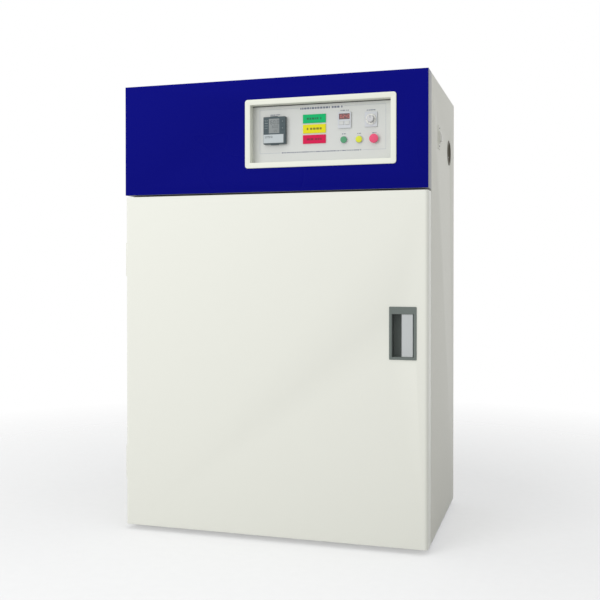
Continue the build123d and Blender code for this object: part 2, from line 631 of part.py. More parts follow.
with BuildPart() as fan_wheel:
    with BuildSketch(Plane.XY.offset(WHEEL_TOP - WHEEL_PLATE)):
        with Locations((0, FAN_Y)):
            Circle(WHEEL_RADIUS)
    extrude(amount=WHEEL_PLATE)
    with BuildSketch(Plane.XY.offset(WHEEL_BOTTOM)):
        with Locations((0, FAN_Y)):
            Circle(WHEEL_RADIUS)
            Circle(WHEEL_INLET_RADIUS, mode=Mode.SUBTRACT)
    extrude(amount=WHEEL_PLATE)
    # Forward-curved blades: an arc from the inlet's edge to the rim, thickened, then set round in a ring.
    with BuildSketch(Plane.XY.offset(WHEEL_BOTTOM + WHEEL_PLATE / 2)):
        with Locations((0, FAN_Y)):
            with PolarLocations(0, BLADE_COUNT):
                with BuildLine():
                    RadiusArc((WHEEL_INLET_RADIUS + 1, 0), (WHEEL_RADIUS - 1, 9), 20)
                trace(line_width=BLADE_THICKNESS)
    extrude(amount=WHEEL_HEIGHT - WHEEL_PLATE)
    with BuildSketch(Plane.XY.offset(HUB_BOTTOM)):
        with Locations((0, FAN_Y)):
            Circle(HUB_RADIUS)
    extrude(amount=HUB_HEIGHT)
    with BuildSketch(Plane.XY.offset(HUB_BOTTOM)):
        with Locations((0, FAN_Y)):
            Circle(SHAFT_RADIUS)
    extrude(amount=HUB_HEIGHT, mode=Mode.SUBTRACT)
keep(fan_wheel, "fan_wheel")

with BuildPart() as fan_shaft:
    with BuildSketch(Plane.XY.offset(HUB_BOTTOM)):
        with Locations((0, FAN_Y)):
            Circle(SHAFT_RADIUS)
    extrude(amount=MOTOR_BOTTOM + SHAFT_IN_MOTOR - HUB_BOTTOM)
    chamfer(fan_shaft.edges().filter_by(GeomType.CIRCLE), 1)
keep(fan_shaft, "fan_shaft")

with BuildPart() as fan_motor:
    casing = MOTOR_RADIUS - MOTOR_FIN
    bore, bore_end = SHAFT_RADIUS + RUNNING_CLEARANCE, SHAFT_IN_MOTOR + SHAFT_END_GAP
    with BuildSketch(Plane(origin=(0, FAN_Y, MOTOR_BOTTOM), x_dir=(1, 0, 0), z_dir=(0, -1, 0))):
        with BuildLine():
            Polyline((bore, 0), (casing - MOTOR_BEVEL, 0), (casing, MOTOR_BEVEL),
                     (casing, MOTOR_HEIGHT - MOTOR_CROWN), (casing - MOTOR_CROWN, MOTOR_HEIGHT),
                     (0, MOTOR_HEIGHT), (0, bore_end), (bore, bore_end), close=True)
        make_face()
    revolve(axis=Axis((0, FAN_Y, 0), (0, 0, 1)))
    # Cooling fins round the body
    for n in range(MOTOR_FIN_COUNT):
        with BuildSketch(Plane.XY.offset(MOTOR_BOTTOM + MOTOR_FIN_START + n * MOTOR_FIN_PITCH)):
            with Locations((0, FAN_Y)):
                Circle(MOTOR_RADIUS)
                Circle(casing - 1, mode=Mode.SUBTRACT)
        extrude(amount=MOTOR_FIN_THICKNESS)
    # Pressed feet: a channel that stands on the bay floor and carries the motor's end bell
    half = MOTOR_RADIUS + BRACKET_MARGIN
    with BuildSketch(facing(FAN_Y + half)):
        span_rectangle((-half, half), (MOTOR_BOTTOM - BRACKET_SHEET, MOTOR_BOTTOM))
        for side in (-1, 1):
            leg = sorted((side * half, side * (half - BRACKET_SHEET)))
            toe = sorted((side * (half - BRACKET_SHEET), side * (half + BRACKET_TOE)))
            span_rectangle(leg, (HEADER_UNDER, MOTOR_BOTTOM))
            span_rectangle(toe, (HEADER_UNDER, HEADER_UNDER + BRACKET_SHEET))
    extrude(amount=2 * half)
    with BuildSketch(Plane.XY.offset(MOTOR_BOTTOM)):
        with Locations((0, FAN_Y)):
            Circle(SHAFT_HOLE_RADIUS)
    extrude(amount=-2 * BRACKET_SHEET, mode=Mode.SUBTRACT)
keep(fan_motor, "fan_motor")

# Two turns of sheathed heater round the wheel, both open at the rear, where a sleeve joins each end.
HEATER_OPEN = degrees(atan2(SLEEVE_SPREAD, HEATER_RADIUS))
HEATER_BOTTOM = ROOF_IN - HEATER_TURN_DROPS[-1] - 2 * HEATER_ROD
with BuildPart() as heater_element:
    turn_start = Vector(0, 1, 0).rotate(Axis.Z, HEATER_OPEN)
    for drop in HEATER_TURN_DROPS:
        with BuildSketch(Plane(origin=(0, FAN_Y, ROOF_IN - drop), x_dir=turn_start,
                               z_dir=turn_start.rotate(Axis.Z, -90))):
            with Locations((HEATER_RADIUS, 0)):
                Circle(HEATER_ROD)
        revolve(axis=Axis((0, FAN_Y, 0), (0, 0, 1)), revolution_arc=360 - 2 * HEATER_OPEN)
    with BuildSketch(Plane.XY.offset(HEATER_BOTTOM)):
        with Locations(*SLEEVE_PLACES):
            Circle(SLEEVE_RADIUS)
    extrude(amount=HEADER_UNDER + TERMINAL_HEIGHT - HEATER_BOTTOM)
    # Flange nuts on the bay floor carry the element.
    with BuildSketch(Plane.XY.offset(HEADER_UNDER)):
        with Locations(*SLEEVE_PLACES):
            RegularPolygon(SLEEVE_NUT[0], 6)
    extrude(amount=SLEEVE_NUT[1])
keep(heater_element, "heater_element")

with BuildPart() as temperature_probe:
    with BuildSketch(Plane.XY.offset(PLENUM - PROBE_REACH)):
        with Locations(PROBE_PLACE):
            Circle(PROBE_RADIUS)
    extrude(amount=HEADER_UNDER + PROBE_TAIL - (PLENUM - PROBE_REACH))
    with BuildSketch(Plane.XY.offset(HEADER_UNDER)):
        with Locations(PROBE_PLACE):
            RegularPolygon(PROBE_NUT[0], 6)
    extrude(amount=PROBE_NUT[1])
    with BuildSketch(Plane.XY.offset(HEADER_UNDER + PROBE_NUT[1])):
        with Locations(PROBE_PLACE):
            Circle(PROBE_HEAD[0])
    extrude(amount=PROBE_HEAD[1])
keep(temperature_probe, "temperature_probe")

with BuildPart() as exhaust_duct:
    with BuildLine() as duct_path:
        run = RIGHT - SHEET - VENT_RECESS - DUCT_X
        FilletPolyline((DUCT_X, VENT_Y, ROOF_IN), (DUCT_X, VENT_Y, VENT_Z), (DUCT_X + run, VENT_Y, VENT_Z),
                       radius=DUCT_BEND)
    with BuildSketch(Plane.XY.offset(ROOF_IN)):
        with Locations((DUCT_X, VENT_Y)):
            Circle(DUCT_RADIUS)
            Circle(DUCT_RADIUS - DUCT_WALL, mode=Mode.SUBTRACT)
    sweep(path=duct_path.line)
keep(exhaust_duct, "exhaust_duct")

# Vent on the right side: a flanged bush that ends in a slotted disc against the duct
with BuildPart() as side_vent:
    with BuildSketch(Plane.YZ.offset(RIGHT)):
        with Locations((VENT_Y, VENT_Z)):
            Circle(VENT_FLANGE_RADIUS)
            Circle(VENT_OPENING_RADIUS - VENT_WALL, mode=Mode.SUBTRACT)
    extrude(amount=VENT_FLANGE)
    fillet(side_vent.faces().sort_by(Axis.X)[-1].outer_wire().edges(), VENT_FLANGE / 2)
    with BuildSketch(Plane.YZ.offset(RIGHT)):
        with Locations((VENT_Y, VENT_Z)):
            Circle(VENT_OPENING_RADIUS)
            Circle(VENT_OPENING_RADIUS - VENT_WALL, mode=Mode.SUBTRACT)
    extrude(amount=-(SHEET + VENT_RECESS))
    with BuildSketch(Plane.YZ.offset(RIGHT - SHEET - VENT_RECESS)):
        with Locations((VENT_Y, VENT_Z)):
            Circle(VENT_OPENING_RADIUS - VENT_WALL)
            with GridLocations(0, 2 * VENT_SLOT, 1, 7):
                Rectangle(VENT_OPENING_RADIUS, VENT_SLOT, mode=Mode.SUBTRACT)
    extrude(amount=VENT_WALL)
keep(side_vent, "side_vent")

# Power parts on the bay floor: a contactor, a relay on its finned heat sink, and a terminal block
with BuildPart() as bay_components:
    def bay_place(place):
        """Model X and Y of a place in the bay."""
        return (LEFT + BAY_INSET + place[0], FAN_Y + place[1])

    def bay_box(place, size, lift=0.0):
        """A box that stands above the bay floor by lift."""
        x, y = bay_place(place)
        span_box(about(x, size[0]), about(y, size[1]), (HEADER_UNDER + lift, HEADER_UNDER + lift + size[2]))

    bay_box(CONTACTOR_PLACE, CONTACTOR_SIZE)
    bay_box(CONTACTOR_PLACE, CONTACTOR_TOP, CONTACTOR_SIZE[2])
    sink_x, sink_y = bay_place(SINK_PLACE)
    with BuildSketch(facing(sink_y + SINK_SIZE[1] / 2)):
        span_rectangle(about(sink_x, SINK_SIZE[0]), (HEADER_UNDER + SINK_FIN[1], HEADER_UNDER + SINK_SIZE[2]))
        with Locations((sink_x, HEADER_UNDER + SINK_FIN[1] / 2)):
            with GridLocations(SINK_FIN_PITCH, 0, SINK_FIN_COUNT, 1):
                Rectangle(*SINK_FIN)
    extrude(amount=SINK_SIZE[1])
    bay_box(SINK_PLACE, RELAY_SIZE, SINK_SIZE[2])
    with BuildSketch(Plane.XY.offset(HEADER_UNDER)):
        with Locations(bay_place(TERMINALS_PLACE)):
            Rectangle(*TERMINALS_SIZE[:2])
            with GridLocations(*CLAMP_PITCH, CLAMP_COUNT, 2):
                Rectangle(*CLAMP_SIZE, mode=Mode.SUBTRACT)
    extrude(amount=TERMINALS_SIZE[2])
keep(bay_components, "bay_components")

# Header

with BuildPart() as header_shell:
    with BuildSketch(facing(FACE)):
        span_rectangle((LEFT, RIGHT), (HEADER_UNDER, TOP))
        span_rectangle((LEFT + SHEET, RIGHT - SHEET), (HEADER_UNDER + SHEET, TOP - SHEET), mode=Mode.SUBTRACT)
    extrude(amount=FACE - FRONT - FASCIA_SHEET)
    with BuildSketch(facing(FRONT + FASCIA_SHEET + SHEET)):
        span_rectangle((LEFT + SHEET, RIGHT - SHEET), (HEADER_UNDER + SHEET, TOP - SHEET))
        span_rectangle((LEFT + FOLD, RIGHT - FOLD), (HEADER_UNDER + FOLD, TOP - FOLD), mode=Mode.SUBTRACT)
    extrude(amount=SHEET)
keep(header_shell, "header_shell")

WINDOW = (BEZEL_WIDTH - 2 * BEZEL_BAND, BEZEL_HEIGHT - 2 * BEZEL_BAND)
TUNNEL = (WINDOW[0] + 2 * BEZEL_WALL, WINDOW[1] + 2 * BEZEL_WALL)

with BuildPart() as header_fascia:
    with BuildSketch(facing(FRONT + FASCIA_SHEET)):
        span_rectangle((LEFT, RIGHT), (HEADER_UNDER, TOP))
    extrude(amount=FASCIA_SHEET)
    fillet(header_fascia.faces().sort_by(Axis.Y)[0].edges().filter_by(Axis.Z), FASCIA_EDGE)
    with BuildSketch(facing(FRONT + 2 * FASCIA_SHEET)):
        with Locations((PANEL_X, PANEL_Z)):
            Rectangle(TUNNEL[0] + CUTOUT_CLEARANCE, TUNNEL[1] + CUTOUT_CLEARANCE)
    extrude(amount=4 * FASCIA_SHEET, mode=Mode.SUBTRACT)
keep(header_fascia, "header_fascia")

with BuildPart() as panel_bezel:
    with BuildSketch(facing(FRONT)):
        with Locations((PANEL_X, PANEL_Z)):
            RectangleRounded(BEZEL_WIDTH, BEZEL_HEIGHT, BEZEL_CORNER)
    extrude(amount=BEZEL_PROUD)
    fillet(panel_bezel.faces().sort_by(Axis.Y)[0].edges(), 1.5)
    with BuildSketch(facing(PANEL_FACE)):
        with Locations((PANEL_X, PANEL_Z)):
            RectangleRounded(TUNNEL[0], TUNNEL[1], 2 + BEZEL_WALL)
    extrude(amount=PANEL_RECESS)
    with BuildSketch(facing(PANEL_FACE)):
        with Locations((PANEL_X, PANEL_Z)):
            RectangleRounded(WINDOW[0], WINDOW[1], 2)
    extrude(amount=PANEL_RECESS + BEZEL_PROUD, mode=Mode.SUBTRACT)
keep(panel_bezel, "panel_bezel")


def body_size(size):
    """The part of a panel instrument that passes through the panel, inside its front rim."""
    return (size[0] - 5, size[1] - 5)


with BuildPart() as control_panel:
    with BuildSketch(facing(PANEL_FACE + PANEL_SHEET)):
        with Locations((PANEL_X, PANEL_Z)):
            Rectangle(*TUNNEL)
        for place, size in ((CONTROLLER_CENTRE, CONTROLLER_SIZE), (COUNTER_CENTRE, COUNTER_SIZE),
                            (TIMER_CENTRE, TIMER_SIZE), *[(lamp, LAMP_SIZE) for lamp in LAMP_CENTRES]):
            width, height = body_size(size)
            with Locations(on_panel(place)):
                Rectangle(width + CUTOUT_CLEARANCE, height + CUTOUT_CLEARANCE, mode=Mode.SUBTRACT)
        with Locations(*[on_panel(place) for place in BUTTON_CENTRES]):
            Circle(BUTTON_CAP_RADIUS + 1 + CUTOUT_CLEARANCE / 2, mode=Mode.SUBTRACT)
    extrude(amount=PANEL_SHEET)
keep(control_panel, "control_panel")


def instrument(place, size, proud, pockets=()):
    """A panel instrument: a rim in front of the panel, a body behind it, and pockets in its face.

    Each pocket is its centre from the instrument's centre, its size and its depth.
    """
    x, z = on_panel(place)
    face = PANEL_FACE - proud
    with BuildPart() as case:
        with BuildSketch(facing(PANEL_FACE)):
            with Locations((x, z)):
                RectangleRounded(*size, 2)
        extrude(amount=proud)
        fillet(case.faces().sort_by(Axis.Y)[0].edges(), 1)
        with BuildSketch(facing(PANEL_FACE + CASE_DEPTH)):
            with Locations((x, z)):
                Rectangle(*body_size(size))
        extrude(amount=CASE_DEPTH)
        for (offset_x, offset_z), opening, depth in pockets:
            span_box(about(x + offset_x, opening[0]), (face - depth, face + depth),
                     about(z + offset_z, opening[1]), mode=Mode.SUBTRACT)
    return case


def key_hole(key):
    """The opening for a key, with its sliding clearance all round."""
    return (key[0] + 2 * SLIDE_CLEARANCE, key[1] + 2 * SLIDE_CLEARANCE)


def plate_on(place, offset_x, offset_z, size, seat, thickness, round_edge=0.0):
    """A plate seated at depth seat on an instrument, placed from the instrument's centre."""
    x, z = on_panel(place)
    with BuildPart() as plate:
        with BuildSketch(facing(seat)):
            with Locations((x + offset_x, z + offset_z)):
                Rectangle(*size)
        extrude(amount=thickness)
        if round_edge:
            fillet(plate.faces().sort_by(Axis.Y)[0].edges(), round_edge)
    return plate


# Temperature controller: display and keys above, a light cover below
CONTROLLER_FACE = PANEL_FACE - CONTROLLER_PROUD
with BuildPart() as controller_case:
    pockets = [(DISPLAY_AT, DISPLAY, POCKET / 2)]
    pockets += [((KEY_AT, row), key_hole(KEY), POCKET) for row in KEY_ROWS]
    add(instrument(CONTROLLER_CENTRE, CONTROLLER_SIZE, CONTROLLER_PROUD, pockets).part)
    # Clips that hold the cover, at the middle of the top and bottom edges
    clip_x, clip_z = on_panel(CONTROLLER_CENTRE)
    for edge in (-1, 1):
        clip = about(clip_z + edge * (CONTROLLER_SIZE[1] / 2 + 0.5), CLIP[1])
        span_box(about(clip_x + CLIP_AT, CLIP[0]), (CONTROLLER_FACE + 2, PANEL_FACE), clip)
keep(controller_case, "controller_case")
keep(plate_on(CONTROLLER_CENTRE, *DISPLAY_AT, DISPLAY, CONTROLLER_FACE + POCKET / 2, 1.0),
     "controller_display")
keep(plate_on(CONTROLLER_CENTRE, *COVER_AT, COVER, CONTROLLER_FACE, COVER_THICKNESS, 1.0), "controller_cover")
for number, row in enumerate(KEY_ROWS, 1):
    seat = CONTROLLER_FACE + POCKET - KEY_TRAVEL - SLIDE_CLEARANCE
    keep(plate_on(CONTROLLER_CENTRE, KEY_AT, row, KEY, seat, POCKET, 0.5), f"controller_key_{number}")

# Counter: display above, keys below
COUNTER_FACE = PANEL_FACE - COUNTER_PROUD
pockets = [(COUNTER_DISPLAY_AT, COUNTER_DISPLAY, POCKET / 2)]
pockets += [(place, key_hole(COUNTER_KEY), POCKET) for place in COUNTER_KEYS_AT]
keep(instrument(COUNTER_CENTRE, COUNTER_SIZE, COUNTER_PROUD, pockets), "counter_case")
keep(plate_on(COUNTER_CENTRE, *COUNTER_DISPLAY_AT, COUNTER_DISPLAY, COUNTER_FACE + POCKET / 2, 1.0),
     "counter_display")
for number, place in enumerate(COUNTER_KEYS_AT, 1):
    seat = COUNTER_FACE + POCKET - KEY_TRAVEL - SLIDE_CLEARANCE
    keep(plate_on(COUNTER_CENTRE, *place, COUNTER_KEY, seat, POCKET, 0.5), f"counter_key_{number}")

# Three lit signs: a lens in front and a lamp housing behind
with BuildPart() as lamp_housings:
    for place in LAMP_CENTRES:
        with BuildSketch(facing(PANEL_FACE + CASE_DEPTH)):
            with Locations(on_panel(place)):
                Rectangle(*body_size(LAMP_SIZE))
        extrude(amount=CASE_DEPTH)
keep(lamp_housings, "lamp_housings")
for place, colour in zip(LAMP_CENTRES, ("green", "yellow", "red")):
    keep(plate_on(place, 0, 0, LAMP_SIZE, PANEL_FACE, LAMP_PROUD, 0.8), f"lamp_lens_{colour}")

# Dial timer
TIMER_X, TIMER_Z = on_panel(TIMER_CENTRE)
TIMER_FACE = PANEL_FACE - TIMER_PROUD
with BuildPart() as timer_case:
    add(instrument(TIMER_CENTRE, TIMER_SIZE, TIMER_PROUD).part)
    # Raised scale ring under the knob
    with BuildSketch(facing(TIMER_FACE)):
        with Locations((TIMER_X, TIMER_Z)):
            Circle(DIAL_RADIUS)
    extrude(amount=SCALE_THICKNESS)
    chamfer(timer_case.faces().sort_by(Axis.Y)[0].edges(), 0.6)
    with BuildSketch(facing(TIMER_FACE + SPINDLE_LENGTH + 1)):
        with Locations((TIMER_X, TIMER_Z)):
            Circle(SPINDLE_RADIUS + RUNNING_CLEARANCE)
    extrude(amount=SPINDLE_LENGTH + 4, mode=Mode.SUBTRACT)
keep(timer_case, "timer_case")

with BuildPart() as timer_knob:
    knob_back = TIMER_FACE - SCALE_THICKNESS - SLIDE_CLEARANCE
    with BuildSketch(facing(knob_back)):
        with Locations((TIMER_X, TIMER_Z)):
            Circle(KNOB_RADIUS)
            # Finger flutes round the skirt
            with PolarLocations(KNOB_RADIUS + 0.6, KNOB_FLUTE_COUNT):
                Circle(KNOB_FLUTE, mode=Mode.SUBTRACT)
    extrude(amount=KNOB_DEPTH, taper=4)
    with BuildSketch(facing(TIMER_FACE + SPINDLE_LENGTH)):
        with Locations((TIMER_X, TIMER_Z)):
            Circle(SPINDLE_RADIUS)
    extrude(amount=SPINDLE_LENGTH + SCALE_THICKNESS + 2 * SLIDE_CLEARANCE)
keep(timer_knob, "timer_knob")

# Push buttons: three ring bodies behind and in front of the panel, and a sprung cap in each
with BuildPart() as button_bodies:
    for place in BUTTON_CENTRES:
        with BuildSketch(facing(PANEL_FACE)):
            with Locations(on_panel(place)):
                Circle(BUTTON_RING_RADIUS)
        extrude(amount=RING_PROUD, taper=10)
        with BuildSketch(facing(PANEL_FACE + CASE_DEPTH)):
            with Locations(on_panel(place)):
                Circle(BUTTON_CAP_RADIUS + 1)
        extrude(amount=CASE_DEPTH)
        with BuildSketch(facing(PANEL_FACE + CAP_BORE_DEPTH)):
            with Locations(on_panel(place)):
                Circle(BUTTON_CAP_RADIUS + SLIDE_CLEARANCE)
        extrude(amount=CAP_BORE_DEPTH + RING_PROUD + 1, mode=Mode.SUBTRACT)
keep(button_bodies, "button_bodies")


def button_cap(place):
    """A round cap that sits in its ring, clear of the bore's end by its travel."""
    x, z = on_panel(place)
    with BuildPart() as cap:
        with BuildSketch(facing(PANEL_FACE + CAP_BORE_DEPTH - BUTTON_TRAVEL - SLIDE_CLEARANCE)):
            with Locations((x, z)):
                Circle(BUTTON_CAP_RADIUS)
        extrude(amount=CAP_BORE_DEPTH - BUTTON_TRAVEL - SLIDE_CLEARANCE + RING_PROUD + CAP_PROUD)
        fillet(cap.faces().sort_by(Axis.Y)[0].edges(), 1.5)
    return cap


keep(button_cap(BUTTON_CENTRES[0]), "button_green")
keep(button_cap(BUTTON_CENTRES[1]), "button_yellow")

STOP_X, STOP_Z = on_panel(BUTTON_CENTRES[2])
with BuildPart() as button_red:
    head_back = PANEL_FACE - RING_PROUD - BUTTON_TRAVEL - SLIDE_CLEARANCE
    stem = PANEL_FACE + CAP_BORE_DEPTH - BUTTON_TRAVEL - SLIDE_CLEARANCE - head_back
    with BuildSketch(Plane(origin=(STOP_X, head_back, STOP_Z), x_dir=(1, 0, 0), z_dir=(0, 0, 1))):
        with BuildLine():
            # Stem, then the mushroom head with its crowned face
            Polyline((0, stem), (BUTTON_CAP_RADIUS, stem), (BUTTON_CAP_RADIUS, 0),
                     (MUSHROOM_RADIUS - MUSHROOM_BEVEL, 0), (MUSHROOM_RADIUS, -MUSHROOM_BEVEL),
                     (MUSHROOM_RADIUS, -MUSHROOM_RIM))
            TangentArc((0, -MUSHROOM_DEPTH), (MUSHROOM_RADIUS, -MUSHROOM_RIM), tangent=(1, 0))
            Line((0, -MUSHROOM_DEPTH), (0, stem))
        make_face()
    revolve(axis=Axis((STOP_X, 0, STOP_Z), (0, 1, 0)))
keep(button_red, "button_red")

# Mains switch on the right side

SWITCH_SEAT = RIGHT + SWITCH_PLATE[2]
with BuildPart() as switch_housing:
    with BuildSketch(Plane.YZ.offset(RIGHT)):
        with Locations((SWITCH_Y, SWITCH_Z)):
            RectangleRounded(SWITCH_PLATE[0], SWITCH_PLATE[1], 4)
    extrude(amount=SWITCH_PLATE[2])
    fillet(switch_housing.faces().sort_by(Axis.X)[-1].edges(), 0.8)
    with BuildSketch(Plane.YZ.offset(SWITCH_SEAT)):
        with Locations((SWITCH_Y, SWITCH_Z)):
            RectangleRounded(SWITCH_BEZEL[0], SWITCH_BEZEL[1], 2)
    extrude(amount=SWITCH_BEZEL[2])
    fillet(switch_housing.faces().sort_by(Axis.X)[-1].edges(), 1)
    with BuildSketch(Plane.YZ.offset(RIGHT)):
        with Locations((SWITCH_Y, SWITCH_Z)):
            Rectangle(SWITCH_BEZEL[0] - 2 * SWITCH_WALL, SWITCH_BEZEL[1] - 2 * SWITCH_WALL)
    extrude(amount=-SWITCH_BODY_DEPTH)
    with BuildSketch(Plane.YZ.offset(SWITCH_SEAT + SWITCH_BEZEL[2])):
        with Locations((SWITCH_Y, SWITCH_Z)):
            Rectangle(ROCKER_SIZE[0] + 2 * SLIDE_CLEARANCE, ROCKER_SIZE[1] + 2)
    extrude(amount=-(SWITCH_BEZEL[2] + 16), mode=Mode.SUBTRACT)
keep(switch_housing, "switch_housing")

# The rocker is drawn about its axis, tilted to the side it rests on.
ROCKER_X = SWITCH_SEAT + SWITCH_BEZEL[2] - ROCKER_SUNK
with BuildPart() as mains_rocker:
    tilt = radians(ROCKER_TILT)
    rocker_plane = Plane(origin=(ROCKER_X, SWITCH_Y + ROCKER_SIZE[0] / 2, SWITCH_Z),
                         x_dir=(cos(tilt), 0, sin(tilt)), z_dir=(0, -1, 0))
    with BuildSketch(rocker_plane):
        with BuildLine():
            half = ROCKER_SIZE[1] / 2
            face = ROCKER_SUNK + ROCKER_PROUD
            RadiusArc((face, -half), (face, half), -ROCKER_CROWN)
            Polyline((face, half), (0, half - 2), (-ROCKER_KEEL, 0), (0, -half + 2), (face, -half))
        make_face()
    extrude(amount=ROCKER_SIZE[0])
keep(mains_rocker, "mains_rocker")

# Door

with BuildPart() as door_skin:
    with BuildSketch(Plane.XY.offset(BASE)) as door_plan:
        span_rectangle((LEFT, RIGHT), (FRONT, DOOR_BACK))
        fillet(door_plan.vertices().group_by(Axis.Y)[0], DOOR_EDGE_RADIUS)
    extrude(amount=DOOR_HEIGHT)
    fillet(door_skin.faces().sort_by(Axis.Y)[0].edges().filter_by(Axis.X), 2)
    offset(amount=-SHEET, openings=door_skin.faces().sort_by(Axis.Y)[-1], kind=Kind.INTERSECTION)
    with BuildSketch(facing(FRONT + DOOR_EDGE_RADIUS)):
        span_rectangle(*[grown(span, CUP_WALL + CUTOUT_CLEARANCE) for span in (POCKET_X, POCKET_Z)])
    extrude(amount=2 * DOOR_EDGE_RADIUS, mode=Mode.SUBTRACT)
keep(door_skin, "door_skin")

DOOR_IN_X = (LEFT + SHEET, RIGHT - SHEET)
DOOR_IN_Z = (BASE + SHEET, DOOR_TOP - SHEET)
PLUG_X = grown((-WALL_IN, WALL_IN), -PLUG_CLEARANCE)
PLUG_Z = grown((FLOOR_IN, ROOF_IN), -PLUG_CLEARANCE)
HOOK_SLOT_X = (HOOK_X[0] - BOLT_TRAVEL - 2, HOOK_X[1] + 1)
HOOK_SLOT_Z = about(HANDLE_Z, HOOK_HEIGHT + 4)
with BuildPart() as door_liner:
    span_box(grown(DOOR_IN_X, -DOOR_LINER_CLEARANCE), (DOOR_BACK - DOOR_LINER_RETURN, DOOR_BACK),
             grown(DOOR_IN_Z, -DOOR_LINER_CLEARANCE))
    with BuildSketch(Plane(origin=(0, DOOR_BACK, 0), x_dir=(-1, 0, 0), z_dir=(0, 1, 0))):
        span_rectangle(PLUG_X, PLUG_Z)
    extrude(amount=PLUG_DEPTH, taper=PLUG_TAPER)
    offset(amount=-LINER_SHEET, openings=door_liner.faces().sort_by(Axis.Y)[0], kind=Kind.INTERSECTION)
    with BuildSketch(facing(DOOR_BACK + SHEET)):
        span_rectangle(HOOK_SLOT_X, HOOK_SLOT_Z)
    extrude(amount=2 * SHEET + LINER_SHEET, mode=Mode.SUBTRACT)
keep(door_liner, "door_liner")

CUP_X = grown(POCKET_X, CUP_WALL)
CUP_Z = grown(POCKET_Z, CUP_WALL)
BOLT_X = (PIVOT_X - BOLT_WINDOW / 2 - BOLT_TAIL, HOOK_X[1])
with BuildPart() as door_insulation:
    span_box(grown(DOOR_IN_X, -SHEET), (FRONT + SHEET, DOOR_BACK - LINER_SHEET), grown(DOOR_IN_Z, -SHEET))
    # Room for the handle cup, the paddle's tail and the bolt
    span_box((CUP_X[0] - 1, HOOK_SLOT_X[1] + 2), (FRONT, DOOR_BACK), grown(CUP_Z, 1), mode=Mode.SUBTRACT)
    with BuildSketch(facing(FRONT + SHEET)):
        for side in (-1, 1):
            span_rectangle(sorted((side * RIGHT, side * (RIGHT - DOOR_EDGE_RADIUS))), DOOR_IN_Z)
    extrude(amount=-DOOR_EDGE_RADIUS, mode=Mode.SUBTRACT)
keep(door_insulation, "door_insulation")

with BuildPart() as door_gasket:
    ring = grown((-WALL_IN, WALL_IN), GASKET_INSET)
    rise = grown((FLOOR_IN, ROOF_IN), GASKET_INSET)
    with BuildSketch(facing(FACE)):
        with Locations((0, sum(rise) / 2)):
            RectangleRounded(ring[1] - ring[0] + 2 * GASKET_WIDTH, rise[1] - rise[0] + 2 * GASKET_WIDTH,
                             GASKET_CORNER + GASKET_WIDTH)
            RectangleRounded(ring[1] - ring[0], rise[1] - rise[0], GASKET_CORNER, mode=Mode.SUBTRACT)
    extrude(amount=SEAL_GAP)
    chamfer(door_gasket.faces().sort_by(Axis.Y)[-1].edges(), 1.5)
keep(door_gasket, "door_gasket")

# Flush handle

with BuildPart() as handle_cup:
    with BuildSketch(facing(FRONT)):
        with Locations((HANDLE_X, HANDLE_Z)):
            RectangleRounded(HANDLE_WIDTH, HANDLE_HEIGHT, HANDLE_CORNER)
    extrude(amount=HANDLE_PROUD)
    fillet(handle_cup.faces().sort_by(Axis.Y)[0].edges(), HANDLE_EDGE)
    with BuildSketch(facing(CUP_BACK)):
        span_rectangle(CUP_X, CUP_Z)
    extrude(amount=CUP_BACK - FRONT)
    with BuildSketch(facing(FRONT + POCKET_DEPTH)):
        span_rectangle(POCKET_X, POCKET_Z)
    extrude(amount=POCKET_DEPTH + HANDLE_PROUD, mode=Mode.SUBTRACT)
    # Slot in the pocket's back for the paddle's tail
    with BuildSketch(facing(CUP_BACK)):
        span_rectangle((PIVOT_X - BOLT_TRAVEL - BOLT_WINDOW / 2, PIVOT_X + BOLT_WINDOW / 2),
                       about(HANDLE_Z, PADDLE_TAIL_HEIGHT + 4))
    extrude(amount=2 * CUP_WALL, mode=Mode.SUBTRACT)
    # Two rails on the cup's back, above and below the sliding bolt. They end short of the drawn-back hook.
    lip = BOLT_Y[1] + SLIDE_CLEARANCE
    for edge in (-1, 1):
        rail = HANDLE_Z + edge * (HOOK_HEIGHT / 2 + SLIDE_CLEARANCE)
        outer = rail + edge * RAIL_HEIGHT
        with BuildSketch(Plane.YZ.offset(CUP_X[0])):
            span_rectangle((CUP_BACK, lip + RAIL_LIP), sorted((rail, outer)))
            span_rectangle((lip, lip + RAIL_LIP), sorted((rail - edge * RAIL_OVERHANG, outer)))
        extrude(amount=HOOK_X[0] - BOLT_TRAVEL - STRIKE_CLEARANCE - CUP_X[0])
    # Bores for the paddle's pin, top and bottom
    with BuildSketch(Plane.XY.offset(CUP_Z[0])):
        with Locations((PIVOT_X, PIVOT_Y)):
            Circle(PADDLE_PIN_RADIUS + RUNNING_CLEARANCE / 2)
    extrude(amount=CUP_Z[1] - CUP_Z[0], mode=Mode.SUBTRACT)
keep(handle_cup, "handle_cup")

